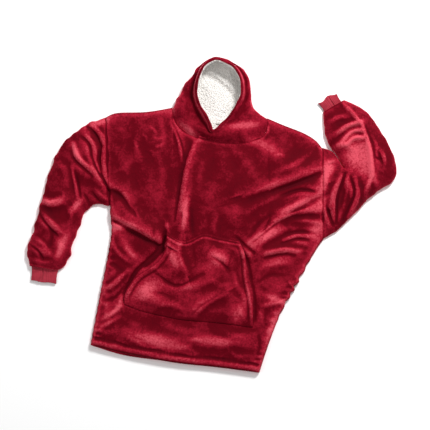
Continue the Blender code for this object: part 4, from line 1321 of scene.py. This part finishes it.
def inset_line(line, distance):
    """A plan line moved sideways to its left by a distance."""
    run = np.gradient(line, axis=0)
    run /= np.linalg.norm(run, axis=1, keepdims=True)
    return line + np.stack([-run[:, 1], run[:, 0]], axis=1) * distance


class HOODIE_OT_stitching(bpy.types.Operator):
    """Topstitching of the hem and of the pocket's mouths and edges"""
    bl_idname = "hoodie.stitching"
    bl_label = "Stitching"

    def execute(self, context):
        hem = inset_line(smooth_curve(HEM, 260), HEM_DEPTH)[4:-4]
        stitch_row("hem_stitches", np.concatenate([hem, front_height(hem)[:, None] - 0.5], axis=1))
        for name, edge, insets in (("pocket_right_mouth", POCKET_LEFT, (-9.0, -17.0)),
                                   ("pocket_left_mouth", POCKET_RIGHT, (9.0, 17.0)),
                                   ("pocket_foot", POCKET_BOTTOM, (10.0,)),
                                   ("pocket_head", POCKET_TOP, (-10.0,))):
            for i, inset in enumerate(insets):
                line = inset_line(smooth_curve(edge, 120), inset)[3:-3]
                high = pocket_surface(line)[0]
                stitch_row(f"{name}_stitches_{i + 1}", np.concatenate([line, high[:, None] - 0.5], axis=1))
        return {"FINISHED"}


class HOODIE_OT_stage(bpy.types.Operator):
    """White floor, soft studio light and the camera at the photograph's angle"""
    bl_idname = "hoodie.stage"
    bl_label = "Stage"

    def execute(self, context):
        stage = context.scene.hoodie_stage
        floor_look()
        right = Vector((math.cos(PHOTO_TURN), math.sin(PHOTO_TURN), 0))
        up = Vector((-math.sin(PHOTO_TURN), math.cos(PHOTO_TURN), 0))
        centre = Vector(VIEW_CENTRE)
        back = Vector((0, 0, 1)) * math.sin(CAMERA_ELEVATION) - up * math.cos(CAMERA_ELEVATION)
        data = bpy.data.cameras.new("Camera")
        data.sensor_width = SENSOR
        data.lens = SENSOR * CAMERA_DISTANCE / (PHOTO_SIDE * MM_PER_PIXEL * MM)
        data.clip_end = 50
        camera = bpy.data.objects.new("Camera", data)
        camera.location = centre + back * CAMERA_DISTANCE
        camera.rotation_mode = "QUATERNION"
        camera.rotation_quaternion = look_from(back, right)
        context.scene.collection.objects.link(camera)
        context.scene.camera = camera
        area_light("Key", centre + (right * 0.5 + up * 0.85) * 2.6 + Vector((0, 0, 2.45)), centre, 0.7, stage.key)
        area_light("Fill left", centre - right * 3.0 + Vector((0, 0, 2.6)), centre, 2.4, stage.key * 0.16)
        world = bpy.data.worlds.new("Studio")
        context.scene.world = world
        world.use_nodes = True
        sky = world.node_tree.nodes["Background"]
        sky.inputs["Color"].default_value = (1, 1, 1, 1)
        sky.inputs["Strength"].default_value = stage.fill
        context.scene.view_settings.view_transform = "Standard"
        return {"FINISHED"}


def look_from(back, right):
    """Rotation of a camera whose view comes from one direction with its right side given."""
    side = (right - back * right.dot(back)).normalized()
    top = back.cross(side)
    return Matrix((side, top, back)).transposed().to_quaternion()


def area_light(name, place, target, size, power):
    data = bpy.data.lights.new(name, "AREA")
    data.size = size
    data.energy = power
    lamp = bpy.data.objects.new(name, data)
    lamp.location = place
    lamp.rotation_euler = (place - target).to_track_quat("Z", "Y").to_euler()
    bpy.context.scene.collection.objects.link(lamp)


def floor_look():
    """Plain white floor, matt paint."""
    material, tree, shader = new_material("Matt white studio floor")
    place = add_node(tree, "ShaderNodeTexCoord").outputs["Object"]
    grain = add_node(tree, "ShaderNodeTexNoise", {"Scale": 3.0}, {"Vector": place})
    tone = to_linear(bpy.context.scene.hoodie_stage.floor)
    colour = ramp_node(tree, grain.outputs["Fac"], [(0.2, tone), (0.8, tuple(c * 0.995 for c in tone[:3]) + (1,))])
    tree.links.new(colour.outputs["Color"], shader.inputs["Base Color"])
    shader.inputs["Roughness"].default_value = 0.9
    shader.inputs["Specular IOR Level"].default_value = 0.0
    reach = 6000.0
    points = np.array([(-reach, -reach, 0), (reach, -reach, 0), (reach, reach, 0), (-reach, reach, 0)])
    floor = add_mesh("floor", points, [(0, 1, 2, 3)], material, smooth=False)


class HOODIE_PT_panel(bpy.types.Panel):
    """Buttons for each group of pieces"""
    bl_label = "Blanket hoodie"
    bl_space_type = "VIEW_3D"
    bl_region_type = "UI"
    bl_category = "Hoodie"

    def draw(self, context):
        for operator in OPERATORS:
            self.layout.operator(operator.bl_idname)
        for group in (context.scene.hoodie_cloth, context.scene.hoodie_stage):
            for name in group.__annotations__:
                self.layout.prop(group, name)


OPERATORS = (HOODIE_OT_stage, HOODIE_OT_back, HOODIE_OT_front, HOODIE_OT_sleeves, HOODIE_OT_cuffs,
             HOODIE_OT_hood, HOODIE_OT_lining, HOODIE_OT_pocket, HOODIE_OT_stitching)
CLASSES = (HoodieCloth, HoodieStage, *OPERATORS, HOODIE_PT_panel)


def register():
    for item in CLASSES:
        bpy.utils.register_class(item)
    bpy.types.Scene.hoodie_cloth = bpy.props.PointerProperty(type=HoodieCloth)
    bpy.types.Scene.hoodie_stage = bpy.props.PointerProperty(type=HoodieStage)


def unregister():
    del bpy.types.Scene.hoodie_stage
    del bpy.types.Scene.hoodie_cloth
    for item in reversed(CLASSES):
        bpy.utils.unregister_class(item)


def main():
    register()
    for operator in OPERATORS:
        group, name = operator.bl_idname.split(".")
        getattr(getattr(bpy.ops, group), name)()


if __name__ == "__main__":
    main()
